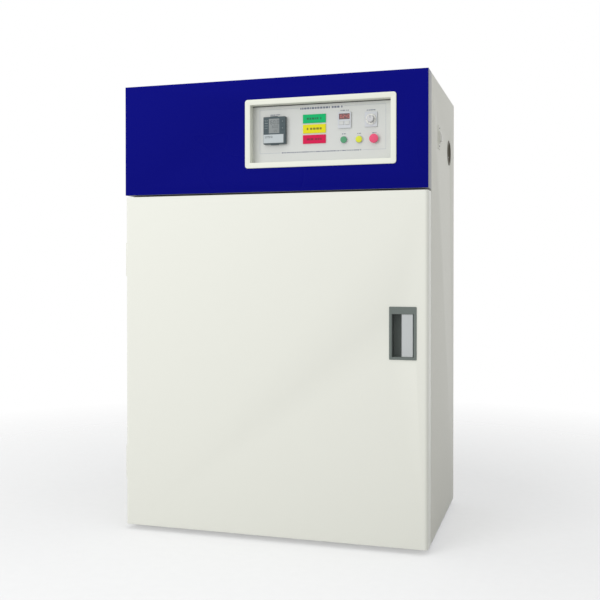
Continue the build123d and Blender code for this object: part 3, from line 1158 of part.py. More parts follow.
PADDLE_Z = grown(POCKET_Z, -PADDLE_END_CLEARANCE)
PADDLE_LEFT = PIVOT_X + PADDLE_RADIUS - PADDLE_WIDTH
with BuildPart() as handle_paddle:
    # Seen from above: a flat grip with its free edge turned in, and a knuckle round the pin
    with BuildSketch(Plane.XY.offset(PADDLE_Z[0])) as grip:
        span_rectangle((PADDLE_LEFT, PIVOT_X), (FRONT, FRONT + PADDLE_THICKNESS))
        span_rectangle((PADDLE_LEFT, PADDLE_LEFT + PADDLE_THICKNESS), (FRONT, FRONT + 3 * PADDLE_THICKNESS))
        fillet(grip.vertices().sort_by_distance((PADDLE_LEFT, FRONT))[0], 2.5)
        with Locations((PIVOT_X, PIVOT_Y)):
            Circle(PADDLE_RADIUS)
    extrude(amount=PADDLE_Z[1] - PADDLE_Z[0])
    with BuildSketch(Plane.XY.offset(HANDLE_Z - PADDLE_TAIL_HEIGHT / 2)):
        span_rectangle(about(PIVOT_X, PADDLE_THICKNESS), (PIVOT_Y, PIVOT_Y + PADDLE_TAIL))
    extrude(amount=PADDLE_TAIL_HEIGHT)
    with BuildSketch(Plane.XY.offset(PADDLE_Z[0])):
        with Locations((PIVOT_X, PIVOT_Y)):
            Circle(PADDLE_PIN_RADIUS + RUNNING_CLEARANCE)
    extrude(amount=PADDLE_Z[1] - PADDLE_Z[0], mode=Mode.SUBTRACT)
keep(handle_paddle, "handle_paddle")

with BuildPart() as paddle_pin:
    with BuildSketch(Plane.XY.offset(CUP_Z[0])):
        with Locations((PIVOT_X, PIVOT_Y)):
            Circle(PADDLE_PIN_RADIUS)
    extrude(amount=CUP_Z[1] - CUP_Z[0])
keep(paddle_pin, "paddle_pin")

with BuildPart() as latch_bolt:
    # A sliding plate behind the cup, with a window for the paddle's tail, and the hook that meets the strike
    span_box(BOLT_X, BOLT_Y, about(HANDLE_Z, HOOK_HEIGHT))
    span_box(HOOK_X, (BOLT_Y[0], FACE + HOOK_REACH), about(HANDLE_Z, HOOK_HEIGHT))
    span_box(about(PIVOT_X, BOLT_WINDOW), grown(BOLT_Y, 1), about(HANDLE_Z, PADDLE_TAIL_HEIGHT + 2),
             mode=Mode.SUBTRACT)
    nose = latch_bolt.edges().filter_by(Axis.Z).sort_by_distance((HOOK_X[1], FACE + HOOK_REACH, HANDLE_Z))[0]
    chamfer(nose, HOOK_CHAMFER)
keep(latch_bolt, "latch_bolt")

with BuildPart() as strike_plate:
    with BuildSketch(facing(FACE)):
        span_rectangle(grown(STRIKE_X, STRIKE_MARGIN), grown(STRIKE_Z, STRIKE_MARGIN))
    extrude(amount=STRIKE_SHEET)
    with BuildSketch(facing(FACE + STRIKE_DEPTH)):
        span_rectangle(grown(STRIKE_X, STRIKE_SHEET), grown(STRIKE_Z, STRIKE_SHEET))
    extrude(amount=STRIKE_DEPTH)
    with BuildSketch(facing(FACE + STRIKE_DEPTH - STRIKE_SHEET)):
        span_rectangle(STRIKE_X, STRIKE_Z)
    extrude(amount=STRIKE_DEPTH, mode=Mode.SUBTRACT)
keep(strike_plate, "strike_plate")

# Hinges: lift-off, with the cabinet's knuckle and pin below and the door's knuckle above


def hinge_half(towards_door):
    """The leaves of one body, one at each hinge height, each with its own knuckle."""
    side = -1 if towards_door else 1
    with BuildPart() as leaves:
        for z in HINGE_HEIGHTS:
            with BuildSketch(Plane.XY.offset(z)):
                near = HINGE_Y + side * (KNUCKLE_RADIUS + 1)
                far = near + side * LEAF_REACH
                span_rectangle((LEFT - LEAF_THICKNESS, LEFT), sorted((near, far)))
            extrude(amount=HINGE_LENGTH)
            half = HINGE_LENGTH / 2
            start = z + half + KNUCKLE_GAP / 2 if towards_door else z
            with BuildSketch(Plane.XY.offset(start)):
                with Locations((HINGE_X, HINGE_Y)):
                    Circle(KNUCKLE_RADIUS)
                span_rectangle((HINGE_X, LEFT), sorted((HINGE_Y + side, near)))
                with Locations((HINGE_X, HINGE_Y)):
                    radial = RUNNING_CLEARANCE if towards_door else RUNNING_CLEARANCE / 2
                    Circle(HINGE_PIN_RADIUS + radial, mode=Mode.SUBTRACT)
            extrude(amount=half - KNUCKLE_GAP / 2)
    return leaves


keep(hinge_half(True), "door_hinge_leaves")
keep(hinge_half(False), "cabinet_hinge_leaves")

with BuildPart() as hinge_pins:
    for z in HINGE_HEIGHTS:
        with BuildSketch(Plane.XY.offset(z)):
            with Locations((HINGE_X, HINGE_Y)):
                Circle(HINGE_PIN_RADIUS)
        extrude(amount=HINGE_LENGTH)
keep(hinge_pins, "hinge_pins")
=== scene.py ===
"""Environmental test chamber: paint, printed panel, displays, fasteners, seal, floor, lamps and camera.

Metres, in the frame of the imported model: X across the front, Y from the door to the rear, Z up.
"""

import json
import math
import random

import bmesh
import bpy
from mathutils import Matrix, Vector


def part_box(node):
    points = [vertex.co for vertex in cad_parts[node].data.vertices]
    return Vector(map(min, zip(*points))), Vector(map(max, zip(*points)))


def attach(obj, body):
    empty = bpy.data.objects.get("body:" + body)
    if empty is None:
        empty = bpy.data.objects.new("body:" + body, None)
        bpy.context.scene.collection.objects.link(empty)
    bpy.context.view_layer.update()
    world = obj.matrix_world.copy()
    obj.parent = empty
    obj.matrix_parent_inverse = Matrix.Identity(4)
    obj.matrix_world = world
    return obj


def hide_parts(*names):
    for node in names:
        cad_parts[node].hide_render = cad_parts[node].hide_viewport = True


bl_info = {
    "name": "Environmental Test Chamber",
    "version": (1, 0, 0),
    "blender": (4, 5, 0),
    "location": "View3D > Sidebar > Chamber",
    "description": "Dresses the test chamber with paint, print, displays, fasteners, seal and a plain studio",
    "category": "Object",
}

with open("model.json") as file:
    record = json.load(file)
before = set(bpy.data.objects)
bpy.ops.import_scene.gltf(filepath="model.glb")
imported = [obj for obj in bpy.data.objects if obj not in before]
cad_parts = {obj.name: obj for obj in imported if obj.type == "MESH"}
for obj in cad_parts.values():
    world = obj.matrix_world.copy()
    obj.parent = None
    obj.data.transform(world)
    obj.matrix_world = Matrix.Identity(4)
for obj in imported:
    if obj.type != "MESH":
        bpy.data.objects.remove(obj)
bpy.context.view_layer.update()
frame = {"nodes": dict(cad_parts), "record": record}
RECORD = frame["record"]
BODY_OF = {node: body for body, nodes in RECORD["behaviour"]["bodies"].items() for node in nodes}
MM = 0.001
PRINT_RELIEF = 0.12 * MM        # how far ink stands off what it is printed on
SMOOTH_ANGLE = math.radians(32)
WHITE = (1, 1, 1, 1)


def srgb(red, green, blue):
    """A colour picked as 0 to 255 display values, as linear red, green and blue."""
    def linear(value):
        value /= 255
        return value / 12.92 if value <= 0.04045 else ((value + 0.055) / 1.055) ** 2.4
    return (linear(red), linear(green), linear(blue))


# Sizes and colours that a user would change

def colour(name, text, default):
    """A colour property, from 0 to 255 display values."""
    return bpy.props.FloatVectorProperty(name=name, description=text, subtype="COLOR", size=3, min=0, max=1,
                                         default=srgb(*default))


def number(name, text, default, **kind):
    """A number property. Its kind is a unit or a subtype."""
    return bpy.props.FloatProperty(name=name, description=text, default=default, **kind)


def length(name, text, default):
    """A length property, in metres."""
    return number(name, text, default, unit="LENGTH")


class ChamberColours(bpy.types.PropertyGroup):
    """Colours of the paints, plastics and lamps."""
    header_blue: colour("Header blue", "Gloss paint of the header's front", (6, 9, 120))
    door_white: colour("Door white", "Paint of the door", (234, 235, 226))
    case_ivory: colour("Case ivory", "Textured paint of the sides, top and rear", (226, 226, 217))
    # The header's shell: the case's cream paint given as a mid grey, painted shade for its side return
    header_side: colour("Header side", "Paint of the header's folded edge", (160, 161, 165))
    bezel_cream: colour("Bezel cream", "Plastic of the control panel's frame", (233, 235, 223))
    panel_grey: colour("Panel grey", "Printed control panel", (211, 213, 210))
    ink: colour("Ink", "Captions on the control panel", (112, 118, 134))
    border_ink: colour("Border ink", "Border printed round the instruments", (166, 174, 184))
    handle_grey: colour("Handle grey", "Plastic of the handle cup", (108, 116, 112))
    paddle_silver: colour("Paddle silver", "Metal of the handle's paddle", (200, 206, 205))
    slate: colour("Slate", "Controller case", (74, 86, 90))
    cover_grey: colour("Cover grey", "Controller's light cover", (188, 196, 198))
    lamp_green: colour("Green lamp", "Upper sign lamp", (14, 172, 102))
    lamp_yellow: colour("Yellow lamp", "Middle sign lamp", (214, 206, 26))
    lamp_red: colour("Red lamp", "Lower sign lamp", (200, 22, 74))
    push_green: colour("Green button", "Green push button", (70, 150, 105))
    push_yellow: colour("Yellow button", "Yellow push button", (214, 220, 36))
    push_red: colour("Red button", "Red mushroom button", (228, 70, 112))


class ChamberSizes(bpy.types.PropertyGroup):
    """Sizes of the small fittings and of the print."""
    screw_radius: length("Screw radius", "Radius of a pan screw head", 3.6 * MM)
    edge_round: length("Edge rounding", "Small rounding on sheet and plastic edges", 0.5 * MM)
    print_line: length("Printed line", "Width of the panel's printed border", 0.8 * MM)
    dial_numbers: bpy.props.IntProperty(name="Dial numbers", description="Numbers round the timer's dial",
                                        default=6, min=2, max=12)
    screw_seed: bpy.props.IntProperty(name="Screw seed", description="Seed of the screws' turns", default=7)


class ChamberStage(bpy.types.PropertyGroup):
    """Camera, lamps and floor."""
    camera_place: bpy.props.FloatVectorProperty(name="Camera place", description="Where the camera stands",
                                                unit="LENGTH", size=3, default=(0.881, -2.939, 0.852))
    camera_turn: number("Camera turn", "Camera's turn about the vertical", math.radians(16.58),
                        subtype="ANGLE")
    camera_pitch: number("Camera pitch", "Camera's tilt up from level", math.radians(-0.52), subtype="ANGLE")
    focal_length: number("Focal length", "Millimetres on a 36 mm sensor", 52.73)
    picture_shift: number("Picture shift", "Vertical shift of the picture", -0.0345)
    sky_level: number("Sky level", "Strength of the even studio light", 0.60)
    key_power: number("Key lamp", "Power of the front lamp, in watts", 118.0)
    floor_radius: length("Floor radius", "Where the floor has faded into the background", 3.2)


def sizes():
    """The scene's sizes, as set in the sidebar."""
    return bpy.context.scene.chamber_sizes


# Node helpers

class Graph:
    """Adds nodes to a tree and joins their sockets."""

    def __init__(self, tree):
        self.tree = tree

    def node(self, kind, inputs=None, **settings):
        """A new node. An input's value is a socket to join, or a plain value; its key a name or a number."""
        made = self.tree.nodes.new(kind)
        for key, value in settings.items():
            setattr(made, key, value)
        for key, value in (inputs or {}).items():
            self.feed(made.inputs[key], value)
        return made

    def feed(self, socket, value):
        """Joins a socket to an input, or gives the input a plain value."""
        if isinstance(value, bpy.types.NodeSocket):
            self.tree.links.new(value, socket)
        elif value is not None:
            socket.default_value = value

    def math(self, operation, first, second=None, clamp=False):
        """A sum of one or two values."""
        made = self.node("ShaderNodeMath", {0: first, 1: second}, operation=operation, use_clamp=clamp)
        return made.outputs[0]

    def mix(self, factor, first, second):
        """A blend of two colours."""
        made = self.node("ShaderNodeMix", {"Factor": factor}, data_type="RGBA")
        for socket, value in ((made.inputs[6], first), (made.inputs[7], second)):
            if not isinstance(value, bpy.types.NodeSocket) and len(value) == 3:
                value = (*value, 1)
            self.feed(socket, value)
        return made.outputs[2]

    def ramp(self, value, low, high, to_low=0.0, to_high=1.0):
        """A value's share of one span, as the same share of another."""
        return self.node("ShaderNodeMapRange", {0: value, 1: low, 2: high, 3: to_low, 4: to_high},
                         clamp=True).outputs[0]

    def noise(self, vector, scale, detail=3.0):
        """Soft noise from 0 to 1."""
        return self.node("ShaderNodeTexNoise", {"Vector": vector, "Scale": scale,
                                                "Detail": detail}).outputs["Fac"]

    def place(self):
        """Where a point of the surface is, in the object's own frame."""
        return self.node("ShaderNodeTexCoord").outputs["Object"]

    def shown(self):
        """1 on rays that show a thing in the picture, by reflection or through glass too, else 0."""
        path = self.node("ShaderNodeLightPath").outputs
        seen = self.math("MAXIMUM", path["Is Camera Ray"], path["Is Glossy Ray"])
        return self.math("MAXIMUM", seen, path["Is Transmission Ray"])


def sockets(tree, inputs, outputs):
    """Names a group's sockets. An input is its name, its kind and its default."""
    for name, kind, default in inputs:
        made = tree.interface.new_socket(name, in_out="INPUT", socket_type=kind)
        if default is not None:
            made.default_value = default
    for name, kind in outputs:
        tree.interface.new_socket(name, in_out="OUTPUT", socket_type=kind)


NUMBER, TINT, ARROW = "NodeSocketFloat", "NodeSocketColor", "NodeSocketVector"
SURFACE_OUTPUTS = [("Color", TINT), ("Roughness", NUMBER), ("Height", NUMBER)]


def group_tree(name, inputs, build):
    """A surface's shader node group, built once and used again by name."""
    tree = bpy.data.node_groups.get(name)
    if tree is None:
        tree = bpy.data.node_groups.new(name, "ShaderNodeTree")
        sockets(tree, inputs, SURFACE_OUTPUTS)
        graph = Graph(tree)
        results = build(graph, graph.node("NodeGroupInput").outputs)
        graph.node("NodeGroupOutput", dict(enumerate(results)))
    return tree


def paint_film():
    """Sprayed and baked paint: fine orange peel, slow mottling, and painted shade that darkens it towards the
    bottom, in upright streaks.
    """
    def build(graph, given):
        place = graph.place()
        slow = graph.math("SUBTRACT", graph.noise(place, 2.3, 2.0), 0.5)
        dark = graph.mix(0.5, given["Paint"], (0.42, 0.40, 0.35, 1))
        # Painted shade: below the given height the paint darkens towards the bottom, broken into upright
        # streaks.
        height = graph.node("ShaderNodeSeparateXYZ", {0: place}).outputs[2]
        low = graph.ramp(height, given["Grime Height"], 0.0)
        drawn = graph.node("ShaderNodeMapping", {"Vector": place, "Scale": (9, 9, 1.4)}).outputs[0]
        streak = graph.noise(drawn, 3.0, 4.0)
        low_shade = graph.math("MULTIPLY", graph.math("MULTIPLY", low, given["Grime"]), streak)
        factor = graph.math("ADD", low_shade, graph.math("MULTIPLY", slow, given["Mottle"]), clamp=True)
        peel = graph.noise(place, given["Peel Scale"], 2.0)
        return (graph.mix(factor, given["Paint"], dark),
                graph.math("ADD", given["Gloss Roughness"], graph.math("MULTIPLY", slow, 0.08)),
                graph.math("MULTIPLY", peel, given["Peel"]))
    return group_tree("paint_film", [
        ("Paint", TINT, (0.8, 0.8, 0.8, 1)), ("Mottle", NUMBER, 0.03), ("Peel Scale", NUMBER, 420.0),
        ("Peel", NUMBER, 1.0), ("Gloss Roughness", NUMBER, 0.3), ("Grime", NUMBER, 0.05),
        ("Grime Height", NUMBER, 0.5)], build)


def brushed_grain():
    """Metal with a grain of fine lines along one axis, and slow smudges."""
    def build(graph, given):
        place = graph.place()
        drawn = graph.node("ShaderNodeMapping", {"Vector": place, "Scale": given["Grain Scale"]})
        lines = graph.noise(drawn.outputs[0], 1.0)
        smudge = graph.noise(place, 7.0)
        centred = graph.math("SUBTRACT", lines, 0.5)
        light = graph.math("ADD", graph.math("MULTIPLY", centred, given["Contrast"]), 0.5, clamp=True)
        dim = graph.mix(0.5, given["Metal"], (0.1, 0.1, 0.11, 1))
        bright = graph.mix(0.35, given["Metal"], WHITE)
        rough = graph.math("ADD", given["Base Roughness"], graph.math("MULTIPLY", smudge, 0.12))
        return (graph.mix(light, dim, bright),
                graph.math("ADD", rough, graph.math("MULTIPLY", centred, 0.15)), lines)
    return group_tree("brushed_grain", [
        ("Metal", TINT, (0.6, 0.6, 0.6, 1)), ("Grain Scale", ARROW, (4, 400, 400)),
        ("Contrast", NUMBER, 0.12), ("Base Roughness", NUMBER, 0.32)], build)


def moulding_grain():
    """Moulded plastic: a fine spark texture, faint flow marks and a slightly uneven gloss."""
    def build(graph, given):
        place = graph.place()
        spark = graph.node("ShaderNodeTexVoronoi", {"Vector": place, "Scale": given["Spark Scale"]},
                           feature="SMOOTH_F1").outputs["Distance"]
        flow = graph.noise(place, 16.0)
        paler = graph.mix(0.25, given["Plastic"], WHITE)
        return (graph.mix(graph.math("MULTIPLY", flow, given["Flow"]), given["Plastic"], paler),
                graph.math("ADD", given["Base Roughness"], graph.math("MULTIPLY", flow, 0.08)),
                graph.math("MULTIPLY", spark, given["Spark"]))
    return group_tree("moulding_grain", [
        ("Plastic", TINT, (0.5, 0.5, 0.5, 1)), ("Spark Scale", NUMBER, 1400.0), ("Spark", NUMBER, 0.6),
        ("Flow", NUMBER, 0.05), ("Base Roughness", NUMBER, 0.4)], build)


def fibre_mat():
    """Mineral wool: crossed fibres in several sizes."""
    def build(graph, given):
        place = graph.place()
        wave = graph.node("ShaderNodeTexWave", {"Vector": place, "Scale": given["Fibre Scale"],
                                                "Distortion": 9.0, "Detail": 3.0}).outputs["Fac"]
        blend = graph.math("MULTIPLY", wave, graph.noise(place, given["Fibre Scale"], 5.0))
        return graph.mix(blend, given["Wool"], given["Binder"]), graph.ramp(blend, 0, 1, 0.85, 1.0), blend
    return group_tree("fibre_mat", [
        ("Wool", TINT, (0.6, 0.5, 0.3, 1)), ("Binder", TINT, (0.3, 0.24, 0.12, 1)),
        ("Fibre Scale", NUMBER, 90.0)], build)


# Materials

def finish(name, group, values, bump=0.1, distance=0.0004, **uniform):
    """A material whose group gives colour, roughness and height. Uniform values go on the shader itself."""
    name = "chamber_" + name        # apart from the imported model's own materials
    made = bpy.data.materials.get(name)
    if made is not None:
        return made
    made = bpy.data.materials.new(name)
    made.use_nodes = True
    graph = Graph(made.node_tree)
    shader = made.node_tree.nodes["Principled BSDF"]
    surface = graph.node("ShaderNodeGroup", node_tree=group())
    for key, value in values.items():
        if hasattr(value, "__len__") and surface.inputs[key].type == "RGBA":
            value = (*value[:3], 1)
        surface.inputs[key].default_value = value
    graph.feed(shader.inputs["Base Color"], surface.outputs["Color"])
    graph.feed(shader.inputs["Roughness"], surface.outputs["Roughness"])
    relief = graph.node("ShaderNodeBump", {"Strength": bump, "Distance": distance,
                                           "Height": surface.outputs["Height"]})
    graph.feed(shader.inputs["Normal"], relief.outputs[0])
    for key, value in uniform.items():
        shader.inputs[key.replace("_", " ").title().replace("Ior", "IOR")].default_value = value
    return made


def paint(name, shade, roughness, film, **values):
    """A painted sheet."""
    return finish(name, paint_film, {"Paint": shade, "Gloss Roughness": roughness, **film}, **values)


def metal(name, shade, roughness, grain, contrast=0.3, **values):
    """A bare metal with its grain along one axis."""
    return finish(name, brushed_grain, {"Metal": shade, "Base Roughness": roughness, "Grain Scale": grain,
                                        "Contrast": contrast}, metallic=1.0, **values)


def plastic(name, shade, roughness, bump=0.0, mould=None, **values):
    """A moulded plastic."""
    return finish(name, moulding_grain, {"Plastic": shade, "Base Roughness": roughness, **(mould or {})},
                  bump=bump, **values)


def lens(name, shade):
    """A lit sign lens: glossy tinted acrylic with a faint glow of its own colour."""
    return plastic(name, shade, 0.3, bump=0.03, specular_ior_level=0.15, emission_strength=0.12,
                   emission_color=(*shade[:3], 1))


def looks():
    """Every material of the chamber, by its name: what makes it, and what that is given."""
    c = bpy.context.scene.chamber_colours
    return {
        "header_blue": (paint, c.header_blue, 0.28, {"Mottle": 0.0, "Grime": 0.0, "Peel Scale": 520.0},
                        dict(bump=0.05, specular_ior_level=0.05)),
        "door_white": (paint, c.door_white, 0.36, {"Mottle": 0.015, "Grime": 0.06, "Grime Height": 0.3},
                       dict(bump=0.12, specular_ior_level=0.3)),
        "case_ivory": (paint, c.case_ivory, 0.5, {"Peel Scale": 650.0, "Grime": 0.2, "Grime Height": 0.3},
                       dict(bump=0.3, specular_ior_level=0.25)),
        "header_side": (paint, c.header_side, 0.45, {"Grime": 0.0}, dict(bump=0.2, specular_ior_level=0.25)),
        "panel_grey": (paint, c.panel_grey, 0.42, {"Mottle": 0.02, "Grime": 0.0, "Peel Scale": 900.0},
                       dict(bump=0.06, specular_ior_level=0.3)),
        "stainless": (metal, (0.60, 0.61, 0.62), 0.26, (420, 420, 3)),
        "stainless_rod": (metal, (0.66, 0.67, 0.68), 0.18, (200, 6, 200), 0.15),
        "zinc": (metal, (0.56, 0.58, 0.60), 0.36, (90, 90, 60), 0.5),
        "cast_alloy": (metal, (0.42, 0.43, 0.45), 0.5, (160, 160, 160), 0.35, dict(bump=0.4)),
        "fan_alloy": (metal, (0.66, 0.67, 0.68), 0.3, (260, 260, 6)),
        "bright_steel": (metal, (0.72, 0.73, 0.74), 0.16, (300, 300, 12), 0.12),
        "screw_steel": (metal, (0.55, 0.56, 0.57), 0.26, (700, 700, 700), 0.2),
        "screw_dark": (metal, (0.10, 0.10, 0.11), 0.4, (700, 700, 700), 0.4),
        "sheath": (metal, (0.26, 0.22, 0.19), 0.42, (140, 140, 140), 0.6),
        "paddle_silver": (metal, c.paddle_silver, 0.36, (500, 500, 3), 0.22),
        "bezel_cream": (plastic, c.bezel_cream, 0.34, dict(bump=0.05, specular_ior_level=0.35)),
        "handle_grey": (plastic, c.handle_grey, 0.46, dict(bump=0.3, specular_ior_level=0.3)),
        "slate": (plastic, c.slate, 0.44, dict(bump=0.25, specular_ior_level=0.35)),
        "cover_grey": (plastic, c.cover_grey, 0.3, 0.05),
        "pale_key": (plastic, srgb(206, 208, 206), 0.4, 0.1),
        "case_pale": (plastic, srgb(204, 207, 211), 0.4, 0.12),
        "black_plastic": (plastic, srgb(26, 26, 28), 0.42, 0.25),
        "switch_ivory": (plastic, srgb(216, 216, 206), 0.4, 0.12),
        "grille_brown": (plastic, srgb(92, 88, 74), 0.5, 0.2),
        "rocker_pale": (plastic, srgb(226, 226, 220), 0.3, 0.05),
        "brown_phenolic": (plastic, srgb(58, 40, 30), 0.4, 0.2),
        "display_grey": (plastic, srgb(134, 140, 140), 0.12, dict(coat_weight=0.3)),
        "display_red": (plastic, srgb(112, 82, 84), 0.12, dict(coat_weight=0.3)),
        "lit_digit": (plastic, srgb(206, 112, 106), 0.4,
                      dict(emission_strength=0.15, emission_color=(*srgb(230, 90, 80), 1))),
        "lcd_digit": (plastic, srgb(78, 86, 88), 0.4),
        "ink": (plastic, c.ink, 0.5, 0.02),
        "border_ink": (plastic, c.border_ink, 0.5, 0.02),
        "pale_ink": (plastic, srgb(138, 150, 152), 0.5, 0.02),
        "dark_ink": (plastic, srgb(48, 54, 56), 0.5, 0.02),
        "lamp_green": (lens, c.lamp_green),
        "lamp_yellow": (lens, c.lamp_yellow),
        "lamp_red": (lens, c.lamp_red),
        "lamp_green_mark": (plastic, srgb(14, 104, 66), 0.4),
        "lamp_yellow_mark": (plastic, srgb(122, 116, 22), 0.4),
        "lamp_red_mark": (plastic, srgb(128, 14, 48), 0.4),
        "push_green": (plastic, c.push_green, 0.22, 0.02, dict(coat_weight=0.4)),
        "push_yellow": (plastic, c.push_yellow, 0.22, 0.02, dict(coat_weight=0.4)),
        "push_red": (plastic, c.push_red, 0.22, 0.02, dict(coat_weight=0.4)),
        "silicone": (plastic, srgb(206, 200, 188), 0.55, 0.15, {"Spark Scale": 700.0, "Flow": 0.2}, {}),
        "wool": (finish, fibre_mat, {"Wool": srgb(190, 170, 120), "Binder": srgb(120, 98, 56)},
                 dict(bump=0.8, distance=0.002)),
    }


def look(name):
    """The named material. Named values, where it has any, stand last in its row."""
    maker, *given = looks()[name]
    named = given.pop() if isinstance(given[-1], dict) else {}
    return maker(name, *given, **named)


# Mesh helpers

def piece(name, mesh, material, node):
    """A finished piece in the named material. It rides on the node's body."""
    mesh.name = name
    made = bpy.data.objects.new(name, mesh)
    bpy.context.scene.collection.objects.link(made)
    mesh.materials.clear()
    mesh.materials.append(look(material))
    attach(made, BODY_OF[node])
    return made


def soften(shape, smooth=True):
    """Marks faces smooth and edges sharp where they turn by more than the smooth angle."""
    for face in shape.faces:
        face.smooth = smooth
    for edge in shape.edges:
        edge.smooth = len(edge.link_faces) == 2 and edge.calc_face_angle(math.pi) < SMOOTH_ANGLE


def pour(shape, mesh=None, smooth=True):
    """Turns a bmesh into a mesh, smooth except across sharp edges, and frees it."""
    mesh = mesh or bpy.data.meshes.new("mesh")
    soften(shape, smooth)
    shape.to_mesh(mesh)
    shape.free()
    return mesh


def outward(shape, smooth=True):
    """The mesh of a closed bmesh, with its normals outwards."""
    bmesh.ops.recalc_face_normals(shape, faces=shape.faces)
    return pour(shape, smooth=smooth)


def evaluated_mesh(made):
    """What an object's modifiers make of it, as a plain mesh."""
    bpy.context.view_layer.update()
    return bpy.data.meshes.new_from_object(made.evaluated_get(bpy.context.evaluated_depsgraph_get()))


def round_edges(made, width):
    """Rounds a piece's sharp edges."""
    bevel = made.modifiers.new("rounding", "BEVEL")
    bevel.width = width
    bevel.segments = 2
    bevel.limit_method = "ANGLE"
    bevel.angle_limit = SMOOTH_ANGLE
    bevel.use_clamp_overlap = True
    mesh = evaluated_mesh(made)
    made.modifiers.clear()
    made.data = mesh
    shape = bmesh.new()
    shape.from_mesh(mesh)
    pour(shape, mesh)


def dress(node, material, rounding=0.0):
    """Gives a CAD node its finish, on a smoothed copy with rounded edges that stands for the node."""
    shape = bmesh.new()
    shape.from_mesh(frame["nodes"][node].data)
    bmesh.ops.remove_doubles(shape, verts=shape.verts, dist=1e-6)
    bmesh.ops.dissolve_limit(shape, angle_limit=math.radians(0.6), verts=shape.verts, edges=shape.edges)
    made = piece(node + "_finished", pour(shape), material, node)
    if rounding:
        round_edges(made, rounding)
    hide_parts(node)


def blocks(spans):
    """The mesh of many blocks, each from its low to its high corner."""
    shape = bmesh.new()
    for low, high in spans:
        low, high = Vector(low), Vector(high)
        place = Matrix.Translation((low + high) / 2) @ Matrix.Diagonal((*(high - low), 1))
        bmesh.ops.create_cube(shape, size=1, matrix=place)
    return outward(shape, smooth=False)


def around(radius, share):
    """The two coordinates of a point on a circle, at a share of the way round."""
    return radius * math.cos(2 * math.pi * share), radius * math.sin(2 * math.pi * share)


def skin(shape, rings):
    """Joins each ring of corners to the next. A ring of one corner closes to a point."""
    for lower, upper in zip(rings, rings[1:]):
        for n in range(max(len(lower), len(upper))):
            corners = [lower[n % len(lower)], lower[(n + 1) % len(lower)],
                       upper[(n + 1) % len(upper)], upper[n % len(upper)]]
            shape.faces.new(list(dict.fromkeys(corners)))


def turned(profile, place, steps=64):
    """A lathe shape about the Y axis at a place. The profile is radius and depth pairs, from the back."""
    shape = bmesh.new()
    rings = []
    for radius, depth in profile:
        count = steps if radius > 1e-7 else 1
        spots = [around(radius, n / steps) for n in range(count)]
        rings.append([shape.verts.new((place[0] + x, place[1] - depth, place[2] + z)) for x, z in spots])
    skin(shape, rings)
    return outward(shape)


def middle(node):
    """The middle of a node's box."""
    low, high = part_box(node)
    return (low + high) / 2


# Print: seven-bar digits, and dashes in place of captions

DIGIT_BARS = {"0": "abcdef", "1": "bc", "2": "abged", "3": "abgcd", "4": "fgbc", "5": "afgcd",
              "6": "afgedc", "7": "abc", "8": "abcdefg", "9": "abfgcd"}
BAR_ENDS = {"a": ((0, 2), (1, 2)), "b": ((1, 1), (1, 2)), "c": ((1, 0), (1, 1)), "d": ((0, 0), (1, 0)),
            "e": ((0, 0), (0, 1)), "f": ((0, 1), (0, 2)), "g": ((0, 1), (1, 1))}


def digits(text, x, y, z, height):
    """Blocks for a row of digits on a face at depth y, with its lower left corner at x and z."""
    spans = []
    step, bar = height / 2, height * 0.13
    near = y - PRINT_RELIEF
    for character in text:
        if character == ".":
            spans.append(((x - bar, near, z - bar / 2), (x, y, z + bar / 2)))
            x += bar * 1.6
            continue
        for name in DIGIT_BARS[character]:
            (x0, z0), (x1, z1) = BAR_ENDS[name]
            # A bar is half its width wider than its line, and stops that far short of its ends.
            wide, tall = bar / 2 - bar * (x0 != x1), bar / 2 - bar * (z0 != z1)
            spans.append(((x + x0 * step - wide, near, z + z0 * step - tall),
                          (x + x1 * step + wide, y, z + z1 * step + tall)))
        x += step + bar * 3
    return spans


def dashes(ends, y, z, height, seed):
    """Blocks for a row of short dashes on a face at depth y, between two x values."""
    spans = []
    maker = random.Random(seed)
    here = ends[0]
    while here < ends[1]:
        wide = height * maker.uniform(0.5, 1.5)
        end = min(here + wide, ends[1])
        spans.append(((here, y - PRINT_RELIEF, z - height / 2), (end, y, z + height / 2)))
        here = end + height * maker.choice((0.35, 0.35, 0.9))
    return spans


def about(centre, width):
    """The two ends of a width about a centre."""
    return centre - width / 2, centre + width / 2


# Geometry Nodes trees

def tree_with(name, inputs):
    """A geometry tree with named inputs, with its graph and its input sockets."""
    tree = bpy.data.node_groups.new(name, "GeometryNodeTree")
    inputs = [("Geometry", "NodeSocketGeometry", None), *inputs, ("Material", "NodeSocketMaterial", None)]
    sockets(tree, inputs, [("Geometry", "NodeSocketGeometry")])
    graph = Graph(tree)
    return tree, graph, graph.node("NodeGroupInput").outputs


def close_tree(graph, given, points):
    """Ends a tree with its instances made real, in one material."""
    real = graph.node("GeometryNodeRealizeInstances", {"Geometry": points.outputs[0]})
    painted = graph.node("GeometryNodeSetMaterial", {"Geometry": real.outputs[0],
                                                     "Material": given["Material"]})
    graph.node("NodeGroupOutput", {0: painted.outputs[0]})


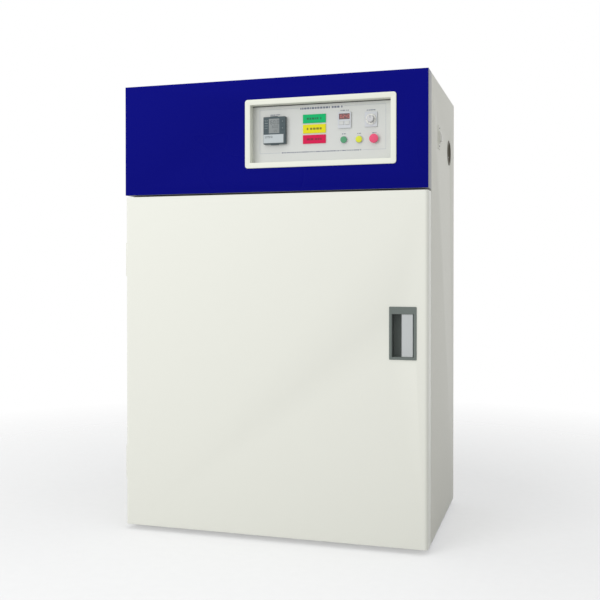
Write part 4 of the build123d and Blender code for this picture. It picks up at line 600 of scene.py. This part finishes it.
def screw_tree():
    """Sets a screw head on each point, faced along the point's facing and turned by chance."""
    tree, graph, given = tree_with("screw_field", [
        ("Head", "NodeSocketObject", None), ("Head Radius", NUMBER, 0.0036), ("Seed", "NodeSocketInt", 7)])
    head = graph.node("GeometryNodeObjectInfo", {"Object": given["Head"]}, transform_space="ORIGINAL")
    facing = graph.node("GeometryNodeInputNamedAttribute", {"Name": "facing"}, data_type="FLOAT_VECTOR")
    aim = graph.node("FunctionNodeAlignRotationToVector", {"Vector": facing.outputs[0]}, axis="Z")
    chance = graph.node("FunctionNodeRandomValue", {"Seed": given["Seed"], 3: 2 * math.pi}, data_type="FLOAT")
    turn = graph.node("FunctionNodeAxisAngleToRotation", {"Axis": (0, 0, 1), "Angle": chance.outputs[1]})
    spin = graph.node("FunctionNodeRotateRotation", {"Rotation": aim.outputs[0],
                                                     "Rotate By": turn.outputs[0]}, rotation_space="LOCAL")
    scale = graph.node("ShaderNodeCombineXYZ", {axis: given["Head Radius"] for axis in range(3)})
    close_tree(graph, given, graph.node("GeometryNodeInstanceOnPoints", {
        "Points": given["Geometry"], "Instance": head.outputs["Geometry"], "Rotation": spin.outputs[0],
        "Scale": scale.outputs[0]}))
    return tree


def scale_tree():
    """Sets tick marks evenly along an arc on a dial's face."""
    tree, graph, given = tree_with("dial_scale", [
        ("Ticks", "NodeSocketInt", 31), ("Radius", NUMBER, 0.015), ("Tick Length", NUMBER, 0.0016),
        ("Tick Width", NUMBER, 0.0004), ("Sweep", NUMBER, 300.0)])
    line = graph.node("GeometryNodeMeshLine", {"Count": given["Ticks"], "Offset": (0, 0, 0)},
                      mode="OFFSET", count_mode="TOTAL")
    index = graph.node("GeometryNodeInputIndex").outputs[0]
    share = graph.math("DIVIDE", index, graph.math("SUBTRACT", given["Ticks"], 1))
    angle = graph.math("MULTIPLY", graph.math("SUBTRACT", share, 0.5), graph.math("RADIANS", given["Sweep"]))
    place = graph.node("ShaderNodeCombineXYZ", {
        0: graph.math("MULTIPLY", graph.math("SINE", angle), given["Radius"]),
        2: graph.math("MULTIPLY", graph.math("COSINE", angle), given["Radius"])})
    moved = graph.node("GeometryNodeSetPosition", {"Geometry": line.outputs[0], "Position": place.outputs[0]})
    size = graph.node("ShaderNodeCombineXYZ", {0: given["Tick Width"], 1: 2 * PRINT_RELIEF,
                                               2: given["Tick Length"]})
    tick = graph.node("GeometryNodeMeshCube", {"Size": size.outputs[0]})
    turn = graph.node("ShaderNodeCombineXYZ", {1: angle})
    rotation = graph.node("FunctionNodeEulerToRotation", {0: turn.outputs[0]})
    close_tree(graph, given, graph.node("GeometryNodeInstanceOnPoints", {
        "Points": moved.outputs[0], "Instance": tick.outputs["Mesh"], "Rotation": rotation.outputs[0]}))
    return tree


def grown_mesh(source, tree, values):
    """Runs a geometry tree on a mesh and returns the result as a plain mesh."""
    carrier = bpy.data.objects.new("carrier", source)
    bpy.context.scene.collection.objects.link(carrier)
    grower = carrier.modifiers.new("grower", "NODES")
    grower.node_group = tree
    for item in tree.interface.items_tree:
        if item.item_type == "SOCKET" and item.in_out == "INPUT" and item.name in values:
            grower[item.identifier] = values[item.name]
    result = evaluated_mesh(carrier)
    bpy.data.objects.remove(carrier)
    return result


def points_mesh(places):
    """A mesh of loose points, each with the way that it faces."""
    mesh = bpy.data.meshes.new("points")
    mesh.from_pydata([tuple(place) for place, _ in places], [], [])
    facing = mesh.attributes.new("facing", "FLOAT_VECTOR", "POINT")
    for n, (_, way) in enumerate(places):
        facing.data[n].vector = way
    return mesh


def screw_head(steps=24):
    """A pan head of unit radius with a cross recess, drawn once and never shown."""
    shape = bmesh.new()

    def ring(height, radius_at):
        return [shape.verts.new((*around(radius_at(n / steps), n / steps), height)) for n in range(steps)]

    def wing(share):
        """The radius of a recess with four wings."""
        return 0.16 + 0.24 * abs(math.cos(4 * math.pi * share)) ** 3

    rings = [ring(height, lambda share, radius=radius: radius)
             for radius, height in ((1.0, 0.0), (1.0, 0.18), (0.93, 0.34), (0.74, 0.47), (0.45, 0.54))]
    rings += [ring(0.55, wing), ring(0.24, lambda share: 0.7 * wing(share))]
    skin(shape, rings)
    shape.faces.new(rings[-1])
    shape.faces.new(list(reversed(rings[0])))
    return bpy.data.objects.new("screw_head", outward(shape))


# Operators

class ChamberOperator:
    """What the chamber's operators share."""
    bl_options = {"REGISTER", "UNDO"}


class CHAMBER_OT_cabinet(ChamberOperator, bpy.types.Operator):
    """Paints the outer sheets, frame, feet and gland"""
    bl_idname = "chamber.cabinet"
    bl_label = "Finish Cabinet"

    def execute(self, context):
        edge = sizes().edge_round
        for node in ("side_panel_left", "side_panel_right", "top_cover", "rear_panel", "front_frame"):
            dress(node, "case_ivory", edge)
        for node in ("base_pan", "levelling_feet", "bay_floor"):
            dress(node, "zinc")
        dress("cable_gland", "black_plastic", edge)
        return {"FINISHED"}


class CHAMBER_OT_chamber(ChamberOperator, bpy.types.Operator):
    """Finishes the liner, baffles, uprights, shelves and what stands in the air stream"""
    bl_idname = "chamber.chamber"
    bl_label = "Finish Chamber"

    def execute(self, context):
        for node in ("chamber_liner", "side_baffles", "plenum_plate", "shelf_uprights"):
            dress(node, "stainless", 0.3 * MM)
        dress("wire_shelves", "stainless_rod")
        dress("insulation", "wool")
        dress("temperature_probe", "bright_steel")
        dress("heater_element", "sheath")
        return {"FINISHED"}


class CHAMBER_OT_fan(ChamberOperator, bpy.types.Operator):
    """Finishes the wheel, shaft, motor, exhaust duct and the bay's power parts"""
    bl_idname = "chamber.fan"
    bl_label = "Finish Fan And Bay"

    def execute(self, context):
        dress("fan_wheel", "fan_alloy")
        dress("fan_shaft", "bright_steel")
        dress("fan_motor", "cast_alloy", 0.6 * MM)
        dress("exhaust_duct", "zinc")
        dress("bay_components", "brown_phenolic", 0.6 * MM)
        return {"FINISHED"}


class CHAMBER_OT_header(ChamberOperator, bpy.types.Operator):
    """Paints the header, its shell in a grey that stands in for the shade on its sides, and its blue front,
    and finishes the control panel with its frame and a black strip of painted shade along its recess
    """
    bl_idname = "chamber.header"
    bl_label = "Finish Header"
    band = 17 * MM              # the panel's frame, from its outer edge to its window
    # The black strip of painted shade along the panel's recess:
    shade_strip = (2.2 * MM, 1 * MM)     # width and thickness

    def execute(self, context):
        # The shell's mid grey is painted shade on the header's side return.
        dress("header_shell", "header_side", 0.3 * MM)
        dress("header_fascia", "header_blue", 0.4 * MM)
        dress("panel_bezel", "bezel_cream", sizes().edge_round)
        dress("control_panel", "panel_grey")
        # A thin black strip lies along the panel's top and bottom, where it meets its recess: painted shade
        # for the shadow under the rim of the panel's frame.
        low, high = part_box("panel_bezel")
        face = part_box("control_panel")[0].y
        wide, thick = self.shade_strip
        strips = [((low.x + self.band, face - thick, start), (high.x - self.band, face, start + wide))
                  for start in (low.z + self.band, high.z - self.band - wide)]
        piece("panel_edging", blocks(strips), "black_plastic", "lamp_housings")
        return {"FINISHED"}


class CHAMBER_OT_print(ChamberOperator, bpy.types.Operator):
    """Prints the control panel: a broken border line and plain dashes in place of captions"""
    bl_idname = "chamber.print"
    bl_label = "Print Control Panel"
    margins = (16 * MM, 26 * MM, 25 * MM, 23 * MM)      # left, right, below and above the instruments
    title_span, footer_span = (0.33, 0.665), (0.18, 0.81)   # as shares of the border's width
    line_gap = 5 * MM           # between a line of print and the border on each side of it
    captions = (("controller_case", 34 * MM, 5.5 * MM), ("counter_case", 26 * MM, 5.0 * MM),
                ("timer_case", 28 * MM, 5.5 * MM))      # node, width and rise above it

    def execute(self, context):
        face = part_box("control_panel")[0].y
        line = sizes().print_line
        first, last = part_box("controller_case"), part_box("timer_case")
        left, right = first[0].x - self.margins[0], last[1].x + self.margins[1]
        bottom, top = first[0].z - self.margins[2], first[1].z + self.margins[3]
        title, footer = ([left + share * (right - left) for share in span]
                         for span in (self.title_span, self.footer_span))
        spans = []
        for z, print_ends in ((top, title), (bottom, footer)):
            for x0, x1 in ((left, print_ends[0] - self.line_gap), (print_ends[1] + self.line_gap, right)):
                spans.append(((x0, face - PRINT_RELIEF, z - line / 2), (x1, face, z + line / 2)))
        for x in (left, right):
            spans.append(((x - line / 2, face - PRINT_RELIEF, bottom), (x + line / 2, face, top)))
        piece("panel_border", blocks(spans), "border_ink", "control_panel")
        spans = dashes(title, face, top - 2 * MM, 6 * MM, 1) + dashes(footer, face, bottom, 3.2 * MM, 2)
        for n, (node, wide, rise) in enumerate(self.captions):
            spans += dashes(about(middle(node).x, wide), face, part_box(node)[1].z + rise, 3.2 * MM, 10 + n)
        for n, node in enumerate(("button_green", "button_yellow", "button_red")):
            spot = middle(node)
            spans += dashes(about(spot.x, 12 * MM), face, spot.z + 18.5 * MM, 2.8 * MM, 20 + n)
        piece("panel_captions", blocks(spans), "ink", "control_panel")
        return {"FINISHED"}


class CHAMBER_OT_controller(ChamberOperator, bpy.types.Operator):
    """Finishes the temperature controller, with its display, marks and keys"""
    bl_idname = "chamber.controller"
    bl_label = "Finish Controller"
    key_nodes = ("controller_key_1", "controller_key_2")

    def execute(self, context):
        dress("controller_case", "slate", 0.4 * MM)
        dress("controller_display", "display_grey", 0.2 * MM)
        dress("controller_cover", "cover_grey", 0.4 * MM)
        for node in self.key_nodes:
            dress(node, "slate", 0.3 * MM)
        low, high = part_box("controller_display")
        spans = digits("60.0", low.x + 6 * MM, low.y, high.z - 17 * MM, 11 * MM)
        spans += digits("60.0", low.x + 12 * MM, low.y, high.z - 29 * MM, 7 * MM)
        spans += digits("120", low.x + 14 * MM, low.y, low.z + 5 * MM, 5.5 * MM)
        piece("controller_digits", blocks(spans), "lcd_digit", "controller_case")
        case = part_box("controller_case")[0]
        spans = []
        for n in range(4):
            spans += dashes((case.x + 4.5 * MM, low.x - 3 * MM), case.y, high.z - (6 + n * 8) * MM,
                            2.2 * MM, 30 + n)
        for node, way in zip(self.key_nodes, (1, -1)):
            spans += self.arrow(node, way)
        piece("controller_marks", blocks(spans), "pale_ink", "controller_case")
        low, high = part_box("controller_cover")
        spans = []
        for n in range(2):
            spans += dashes((low.x + 5 * MM, low.x + 30 * MM), low.y, high.z - (6 + 4 * n) * MM,
                            1.6 * MM, 40 + n)
        piece("cover_marks", blocks(spans), "dark_ink", "controller_case")
        return {"FINISHED"}

    def arrow(self, node, way):
        """Three bars that narrow to an arrow on a key, up or down."""
        face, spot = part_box(node)[0].y, middle(node)
        spans = []
        for n, half in enumerate((2.0, 1.2, 0.4)):
            z = spot.z + (n - 1) * 1.1 * MM * way
            spans.append(((spot.x - half * MM, face - PRINT_RELIEF, z - 0.5 * MM),
                          (spot.x + half * MM, face, z + 0.5 * MM)))
        return spans


class CHAMBER_OT_counter(ChamberOperator, bpy.types.Operator):
    """Finishes the counter, with lit digits and its two keys"""
    bl_idname = "chamber.counter"
    bl_label = "Finish Counter"

    def execute(self, context):
        dress("counter_case", "case_pale", 0.4 * MM)
        dress("counter_display", "display_red", 0.2 * MM)
        for node in ("counter_key_1", "counter_key_2"):
            dress(node, "pale_key", 0.4 * MM)
        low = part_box("counter_display")[0]
        spans = digits("0240", low.x + 4.5 * MM, low.y, low.z + 4.5 * MM, 9 * MM)
        piece("counter_digits", blocks(spans), "lit_digit", "counter_case")
        return {"FINISHED"}


class CHAMBER_OT_lamps(ChamberOperator, bpy.types.Operator):
    """Finishes the three sign lamps, each with a row of plain dark marks"""
    bl_idname = "chamber.lamps"
    bl_label = "Finish Sign Lamps"

    def execute(self, context):
        dress("lamp_housings", "black_plastic")
        for n, shade in enumerate(("green", "yellow", "red")):
            node = "lamp_lens_" + shade
            dress(node, "lamp_" + shade, 0.5 * MM)
            spot = middle(node)
            spans = dashes(about(spot.x, 48 * MM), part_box(node)[0].y, spot.z, 6.5 * MM, 50 + n)
            piece("lamp_marks_" + shade, blocks(spans), f"lamp_{shade}_mark", node)
        return {"FINISHED"}


class CHAMBER_OT_timer(ChamberOperator, bpy.types.Operator):
    """Finishes the dial timer: scale plate, ticks, plain numbers and the knob with its pointer"""
    bl_idname = "chamber.timer"
    bl_label = "Finish Timer"
    plate = (11.4 * MM, 16.8 * MM)      # inner and outer radius of the scale plate
    plate_thickness, plate_bevel = 0.15 * MM, 0.2 * MM
    sweep = 300                 # degrees from the first number to the last
    number_radius, number_height = 13.9 * MM, 1.9 * MM

    def execute(self, context):
        dress("timer_case", "case_pale", 0.3 * MM)
        knob = middle("timer_knob")
        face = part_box("timer_case")[0].y
        inner, outer = self.plate
        thick, bevel = self.plate_thickness, self.plate_bevel
        ring = [(inner, -0.1 * MM), (outer, -0.1 * MM), (outer, 0), (outer - bevel, thick),
                (inner + bevel, thick), (inner, 0), (inner, -0.1 * MM)]
        piece("timer_ring", turned(ring, (knob.x, face, knob.z)), "rocker_pale", "timer_case")
        ink_face = face - thick
        ticks = grown_mesh(bpy.data.meshes.new("none"), scale_tree(), {
            "Ticks": 31, "Radius": 16.2 * MM, "Tick Length": 1.5 * MM, "Tick Width": 0.35 * MM,
            "Sweep": float(self.sweep), "Material": look("dark_ink")})
        ticks.transform(Matrix.Translation((knob.x, ink_face, knob.z)))
        piece("timer_ticks", ticks, "dark_ink", "timer_case")
        spans = []
        count, height = sizes().dial_numbers, self.number_height
        for n in range(count):
            angle = math.radians(self.sweep * (n / (count - 1) - 0.5))
            text = str(n * 2)
            spans += digits(text, knob.x + self.number_radius * math.sin(angle) - height * 0.3 * len(text),
                            ink_face, knob.z + self.number_radius * math.cos(angle) - height / 2, height)
        piece("timer_numbers", blocks(spans), "dark_ink", "timer_case")
        dress("timer_knob", "bright_steel", 0.5 * MM)
        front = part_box("timer_knob")[0].y
        pointer = [((knob.x - 0.6 * MM, front - 0.1 * MM, knob.z + 2 * MM),
                    (knob.x + 0.6 * MM, front + 0.3 * MM, knob.z + 9.4 * MM))]
        piece("timer_pointer", blocks(pointer), "dark_ink", "timer_knob")
        return {"FINISHED"}


class CHAMBER_OT_buttons(ChamberOperator, bpy.types.Operator):
    """Turns the three push buttons and their bright rings"""
    bl_idname = "chamber.buttons"
    bl_label = "Finish Push Buttons"
    crown_steps = 12

    def execute(self, context):
        dress("button_bodies", "bright_steel", 0.2 * MM)
        for shade in ("green", "yellow", "red"):
            node = "button_" + shade
            low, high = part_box(node)
            spot = middle(node)
            radius, depth = (high.x - low.x) / 2, high.y - low.y
            if shade == "red":
                # A mushroom: a stem, then a wide head
                crown, stem, back = 2.6, 10 * MM, depth - 7 * MM
                outline = [(0, 0), (stem, 0), (stem, back), (radius - 1 * MM, back), (radius, back + 1 * MM),
                           (radius, back + 3.4 * MM)]
            else:
                crown, back = 0.6, depth - 1.6 * MM
                outline = [(0, 0), (radius, 0), (radius, back), (radius - 0.3 * MM, back + 0.6 * MM)]
            edge_radius, edge_depth = outline[-1]
            for n in range(1, self.crown_steps):
                angle = math.radians(90 * n / self.crown_steps)
                rise = math.sin(angle) ** (2.0 / crown ** 0.5)
                outline.append((edge_radius * math.cos(angle), edge_depth + (depth - edge_depth) * rise))
            outline.append((0.0, depth))
            cap = piece(node + "_cap", turned(outline, (spot.x, high.y, spot.z)), "push_" + shade, node)
            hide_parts(node)
        return {"FINISHED"}


class CHAMBER_OT_switch(ChamberOperator, bpy.types.Operator):
    """Finishes the mains switch and the vent on the right side"""
    bl_idname = "chamber.switch"
    bl_label = "Finish Side Switch And Vent"

    def execute(self, context):
        dress("switch_housing", "switch_ivory", 0.2 * MM)
        dress("mains_rocker", "rocker_pale", 0.5 * MM)
        dress("side_vent", "grille_brown", 0.2 * MM)
        return {"FINISHED"}


class CHAMBER_OT_door(ChamberOperator, bpy.types.Operator):
    """Paints the door, finishes its liner and fits the soft seal"""
    bl_idname = "chamber.door"
    bl_label = "Finish Door"
    seal_width, seal_corner = 16 * MM, 24 * MM
    corner_steps, rib_steps = 10, 24

    def execute(self, context):
        dress("door_skin", "door_white", 0.5 * MM)
        dress("door_liner", "stainless", 0.3 * MM)
        dress("door_insulation", "wool")
        self.fit_seal()
        return {"FINISHED"}

    def fit_seal(self):
        """A ribbed silicone seal swept round the door's plug."""
        low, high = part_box("door_gasket")
        width, corner = self.seal_width, self.seal_corner
        inset = width + corner
        # The section, across the seal and out from the door: a base with three soft ribs
        ribs = [(n / self.rib_steps, 0.30 + 0.70 * abs(math.sin(3 * math.pi * n / self.rib_steps)) ** 0.6)
                for n in range(1, self.rib_steps)]
        section = [(0.0, 0.0), (0.0, 0.3), *ribs, (1.0, 0.3), (1.0, 0.0)]
        shape = bmesh.new()
        loops = []
        for quarter, (cx, cz) in enumerate(((high.x - inset, high.z - inset), (low.x + inset, high.z - inset),
                                            (low.x + inset, low.z + inset), (high.x - inset, low.z + inset))):
            for n in range(self.corner_steps + 1):
                ax, az = around(1, (quarter + n / self.corner_steps) / 4)
                loops.append([shape.verts.new((cx + ax * (corner + across * width),
                                               low.y + out * (high.y - low.y),
                                               cz + az * (corner + across * width)))
                              for across, out in section])
        skin(shape, [*loops, loops[0]])
        seal = piece("door_seal", outward(shape), "silicone", "door_gasket")
        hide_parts("door_gasket")


class CHAMBER_OT_handle(ChamberOperator, bpy.types.Operator):
    """Finishes the flush handle, its paddle and pin, the bolt and the strike"""
    bl_idname = "chamber.handle"
    bl_label = "Finish Handle And Latch"

    def execute(self, context):
        dress("handle_cup", "handle_grey", 0.3 * MM)
        dress("handle_paddle", "paddle_silver", 0.4 * MM)
        dress("paddle_pin", "bright_steel")
        dress("latch_bolt", "zinc", 0.3 * MM)
        dress("strike_plate", "zinc", 0.2 * MM)
        return {"FINISHED"}


class CHAMBER_OT_hinges(ChamberOperator, bpy.types.Operator):
    """Paints the lift-off hinges' leaves as what they are fixed to, and finishes their pins"""
    bl_idname = "chamber.hinges"
    bl_label = "Finish Hinges"

    def execute(self, context):
        dress("door_hinge_leaves", "door_white", 0.4 * MM)
        dress("cabinet_hinge_leaves", "case_ivory", 0.4 * MM)
        dress("hinge_pins", "bright_steel")
        return {"FINISHED"}


class CHAMBER_OT_screws(ChamberOperator, bpy.types.Operator):
    """Sets the screws of the rear panel, inner sheets, hinges, strike, vent and switch plate"""
    bl_idname = "chamber.screws"
    bl_label = "Set Screws"
    rear_inset = 8 * MM         # from the rear panel's edge
    rear_ends = (190 * MM, 40 * MM)     # from its corners to the first screws, along and up
    leaf_height, leaf_thickness, leaf_end = 110 * MM, 3 * MM, 14 * MM
    leaf_columns = (10 * MM, 32 * MM)   # from the leaf's outer edge
    switch_plate, switch_reach = 2 * MM, 29 * MM    # its thickness, and from its middle to a screw
    plenum_end, baffle_inset, baffle_end, strike_end = 30 * MM, 15 * MM, 40 * MM, 4.5 * MM
    vent_radius = 39 * MM

    def execute(self, context):
        head, tree = screw_head(), screw_tree()
        radius = sizes().screw_radius
        rear = self.rear_places() + self.leaf_places("cabinet_hinge_leaves", False)
        groups = (("cabinet_screws", "cabinet_hinge_leaves", rear, radius, "screw_steel"),
                  ("small_screws", "strike_plate", self.small_places(), 0.62 * radius, "screw_steel"),
                  ("switch_screws", "strike_plate", self.switch_places(), 0.72 * radius, "screw_dark"),
                  ("door_screws", "door_hinge_leaves", self.leaf_places("door_hinge_leaves", True), radius,
                   "screw_steel"))
        for name, node, places, size, material in groups:
            mesh = grown_mesh(points_mesh(places), tree, {
                "Head": head, "Head Radius": size, "Seed": sizes().screw_seed, "Material": look(material)})
            for face in mesh.polygons:
                face.use_smooth = True
            piece(name, mesh, material, node)
        bpy.data.objects.remove(head)
        return {"FINISHED"}

    def row(self, start, end, count, way):
        """Evenly spaced places from start to end, both included, and the way that they face."""
        return [(Vector(start).lerp(Vector(end), n / (count - 1)), way) for n in range(count)]

    def rear_places(self):
        """Screws round the rear panel's edge."""
        low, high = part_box("rear_panel")
        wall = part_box("side_panel_right")[1].y
        along, up = self.rear_ends
        places = []
        for x in (low.x + self.rear_inset, high.x - self.rear_inset):
            places += self.row((x, wall, low.z + up), (x, wall, high.z - up), 8, (0, 1, 0))
        for z in (low.z + self.rear_inset, high.z - self.rear_inset):
            places += self.row((low.x + along, wall, z), (high.x - along, wall, z), 4, (0, 1, 0))
        return places

    def leaf_places(self, node, on_door):
        """Three screws on each hinge leaf, facing outwards on the left."""
        low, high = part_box(node)
        pin_low, pin_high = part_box("hinge_pins")
        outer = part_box("side_panel_left")[0].x - self.leaf_thickness
        outside, inside = self.leaf_columns
        near, far = (low.y + outside, low.y + inside) if on_door else (high.y - inside, high.y - outside)
        places = []
        for start in (pin_low.z, pin_high.z - self.leaf_height):
            places += [(Vector((outer, y, start + z)), (-1, 0, 0)) for y, z in
                       ((near, self.leaf_end), (far, self.leaf_height / 2),
                        (near, self.leaf_height - self.leaf_end))]
        return places

    def switch_places(self):
        """A dark screw above and below the mains switch."""
        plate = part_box("side_panel_right")[1].x + self.switch_plate
        spot = middle("switch_housing")
        return [(Vector((plate, spot.y, spot.z + side * self.switch_reach)), (1, 0, 0)) for side in (-1, 1)]

    def small_places(self):
        """Screws of the plenum plate, side baffles, strike and vent flange."""
        low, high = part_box("plenum_plate")
        z = (low.z + high.z) / 2
        places = self.row((low.x + self.plenum_end, low.y, z), (high.x - self.plenum_end, low.y, z), 6,
                          (0, -1, 0))
        low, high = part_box("side_baffles")
        for x in (low.x + self.baffle_inset, high.x - self.baffle_inset):
            places += self.row((x, low.y, low.z + self.baffle_end), (x, low.y, high.z - self.baffle_end), 4,
                               (0, -1, 0))
        low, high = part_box("strike_plate")
        x = (low.x + high.x) / 2
        places += self.row((x, low.y, low.z + self.strike_end), (x, low.y, high.z - self.strike_end), 2,
                           (0, -1, 0))
        rim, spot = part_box("side_vent")[1].x, middle("side_vent")
        for n in range(3):
            y, z = around(self.vent_radius, 0.25 + n / 3)
            places.append((Vector((rim, spot.y + y, spot.z + z)), (1, 0, 0)))
        return places


class CHAMBER_OT_stage(ChamberOperator, bpy.types.Operator):
    """Sets up the pale floor, the even studio light and the camera"""
    bl_idname = "chamber.stage"
    bl_label = "Set Stage"
    floor_tones = (srgb(246, 247, 248), srgb(250, 251, 252))
    floor_bounce = srgb(196, 196, 196)      # the floor's colour in the light that it throws back
    floor_cover = 0.62          # how much of the floor shows over the white behind it
    floor_fade = (0.3, 0.9)     # where the fade starts and ends, as shares of the radius
    lamps = (("key", (-2.2, -4.6, 2.0), (0, 0, 0.7), 3.2, 1.0),
             ("top", (0.2, -0.6, 3.4), (0, 0, 1.0), 2.4, 0.15))     # place, target, size, share of the power

    def execute(self, context):
        settings = context.scene.chamber_stage
        self.make_world(settings)
        self.make_floor(settings)
        self.make_lamps(settings)
        self.make_camera(settings)
        context.scene.view_settings.view_transform = "Standard"
        return {"FINISHED"}

    def make_world(self, settings):
        """White behind the object and in its reflections, and an even light on it."""
        world = bpy.data.worlds.new("studio")
        world.use_nodes = True
        bpy.context.scene.world = world
        graph = Graph(world.node_tree)
        plain = world.node_tree.nodes["Background"]
        plain.inputs["Color"].default_value = WHITE
        plain.inputs["Strength"].default_value = settings.sky_level
        seen = graph.node("ShaderNodeBackground", {"Color": WHITE, "Strength": 1.0})
        blend = graph.node("ShaderNodeMixShader", {0: graph.shown(), 1: plain.outputs[0], 2: seen.outputs[0]})
        graph.feed(world.node_tree.nodes["World Output"].inputs["Surface"], blend.outputs[0])

    def make_floor(self, settings):
        """A pale floor that fades into the background away from the object."""
        radius = settings.floor_radius
        shape = bmesh.new()
        bmesh.ops.create_circle(shape, cap_ends=True, segments=96, radius=radius)
        mesh = bpy.data.meshes.new("floor")
        shape.to_mesh(mesh)
        shape.free()
        floor = bpy.data.objects.new("floor", mesh)
        bpy.context.scene.collection.objects.link(floor)
        pale = bpy.data.materials.new("pale_floor")
        pale.use_nodes = True
        graph = Graph(pale.node_tree)
        shader = pale.node_tree.nodes["Principled BSDF"]
        place, seen = graph.place(), graph.shown()
        tone = graph.mix(graph.noise(place, 30.0, 2.0), *self.floor_tones)
        graph.feed(shader.inputs["Base Color"], graph.mix(seen, self.floor_bounce, tone))
        shader.inputs["Roughness"].default_value = 0.8
        shader.inputs["Specular IOR Level"].default_value = 0.05
        away = graph.node("ShaderNodeVectorMath", {0: place}, operation="LENGTH").outputs["Value"]
        start, end = (share * radius for share in self.floor_fade)
        cover = graph.ramp(seen, 0.0, 1.0, 1.0, self.floor_cover)
        graph.feed(shader.inputs["Alpha"],
                   graph.math("MULTIPLY", cover, graph.ramp(away, start, end, 1.0, 0.0)))
        mesh.materials.append(pale)

    def make_lamps(self, settings):
        """A broad lamp in front on the left, and a weak one above."""
        for name, place, target, size, share in self.lamps:
            lamp = bpy.data.lights.new(name, "AREA")
            lamp.size = size
            lamp.energy = share * settings.key_power
            made = bpy.data.objects.new(name, lamp)
            made.location = place
            made.rotation_euler = (Vector(target) - Vector(place)).to_track_quat("-Z", "Y").to_euler()
            made.visible_glossy = False
            bpy.context.scene.collection.objects.link(made)

    def make_camera(self, settings):
        """The photograph's viewpoint."""
        data = bpy.data.cameras.new("camera")
        data.lens = settings.focal_length
        data.sensor_width = 36.0
        data.sensor_fit = "HORIZONTAL"
        data.shift_y = settings.picture_shift
        camera = bpy.data.objects.new("camera", data)
        camera.location = settings.camera_place
        camera.rotation_euler = (math.radians(90) + settings.camera_pitch, 0, settings.camera_turn)
        bpy.context.scene.collection.objects.link(camera)
        bpy.context.scene.camera = camera


class CHAMBER_PT_sidebar(bpy.types.Panel):
    """Lists the chamber's steps, sizes and colours in the sidebar"""
    bl_idname = "CHAMBER_PT_sidebar"
    bl_label = "Test Chamber"
    bl_space_type = "VIEW_3D"
    bl_region_type = "UI"
    bl_category = "Chamber"

    def draw(self, context):
        for step in STEPS:
            self.layout.operator(step.bl_idname)
        for name in GROUPS:
            group = getattr(context.scene, name)
            for entry in group.__annotations__:
                self.layout.prop(group, entry)


STEPS = (CHAMBER_OT_stage, CHAMBER_OT_cabinet, CHAMBER_OT_chamber, CHAMBER_OT_fan, CHAMBER_OT_header,
         CHAMBER_OT_print, CHAMBER_OT_controller, CHAMBER_OT_counter, CHAMBER_OT_lamps, CHAMBER_OT_timer,
         CHAMBER_OT_buttons, CHAMBER_OT_switch, CHAMBER_OT_door, CHAMBER_OT_handle, CHAMBER_OT_hinges,
         CHAMBER_OT_screws)
GROUPS = {"chamber_sizes": ChamberSizes, "chamber_colours": ChamberColours, "chamber_stage": ChamberStage}


def register():
    for kind in (*GROUPS.values(), *STEPS, CHAMBER_PT_sidebar):
        bpy.utils.register_class(kind)
    for name, kind in GROUPS.items():
        setattr(bpy.types.Scene, name, bpy.props.PointerProperty(type=kind))


def unregister():
    for name in GROUPS:
        delattr(bpy.types.Scene, name)
    for kind in (CHAMBER_PT_sidebar, *reversed(STEPS), *reversed(GROUPS.values())):
        bpy.utils.unregister_class(kind)


def main():
    register()
    for step in STEPS:
        getattr(bpy.ops.chamber, step.bl_idname.split(".")[1])()
    bpy.context.view_layer.update()


if __name__ == "__main__":
    main()
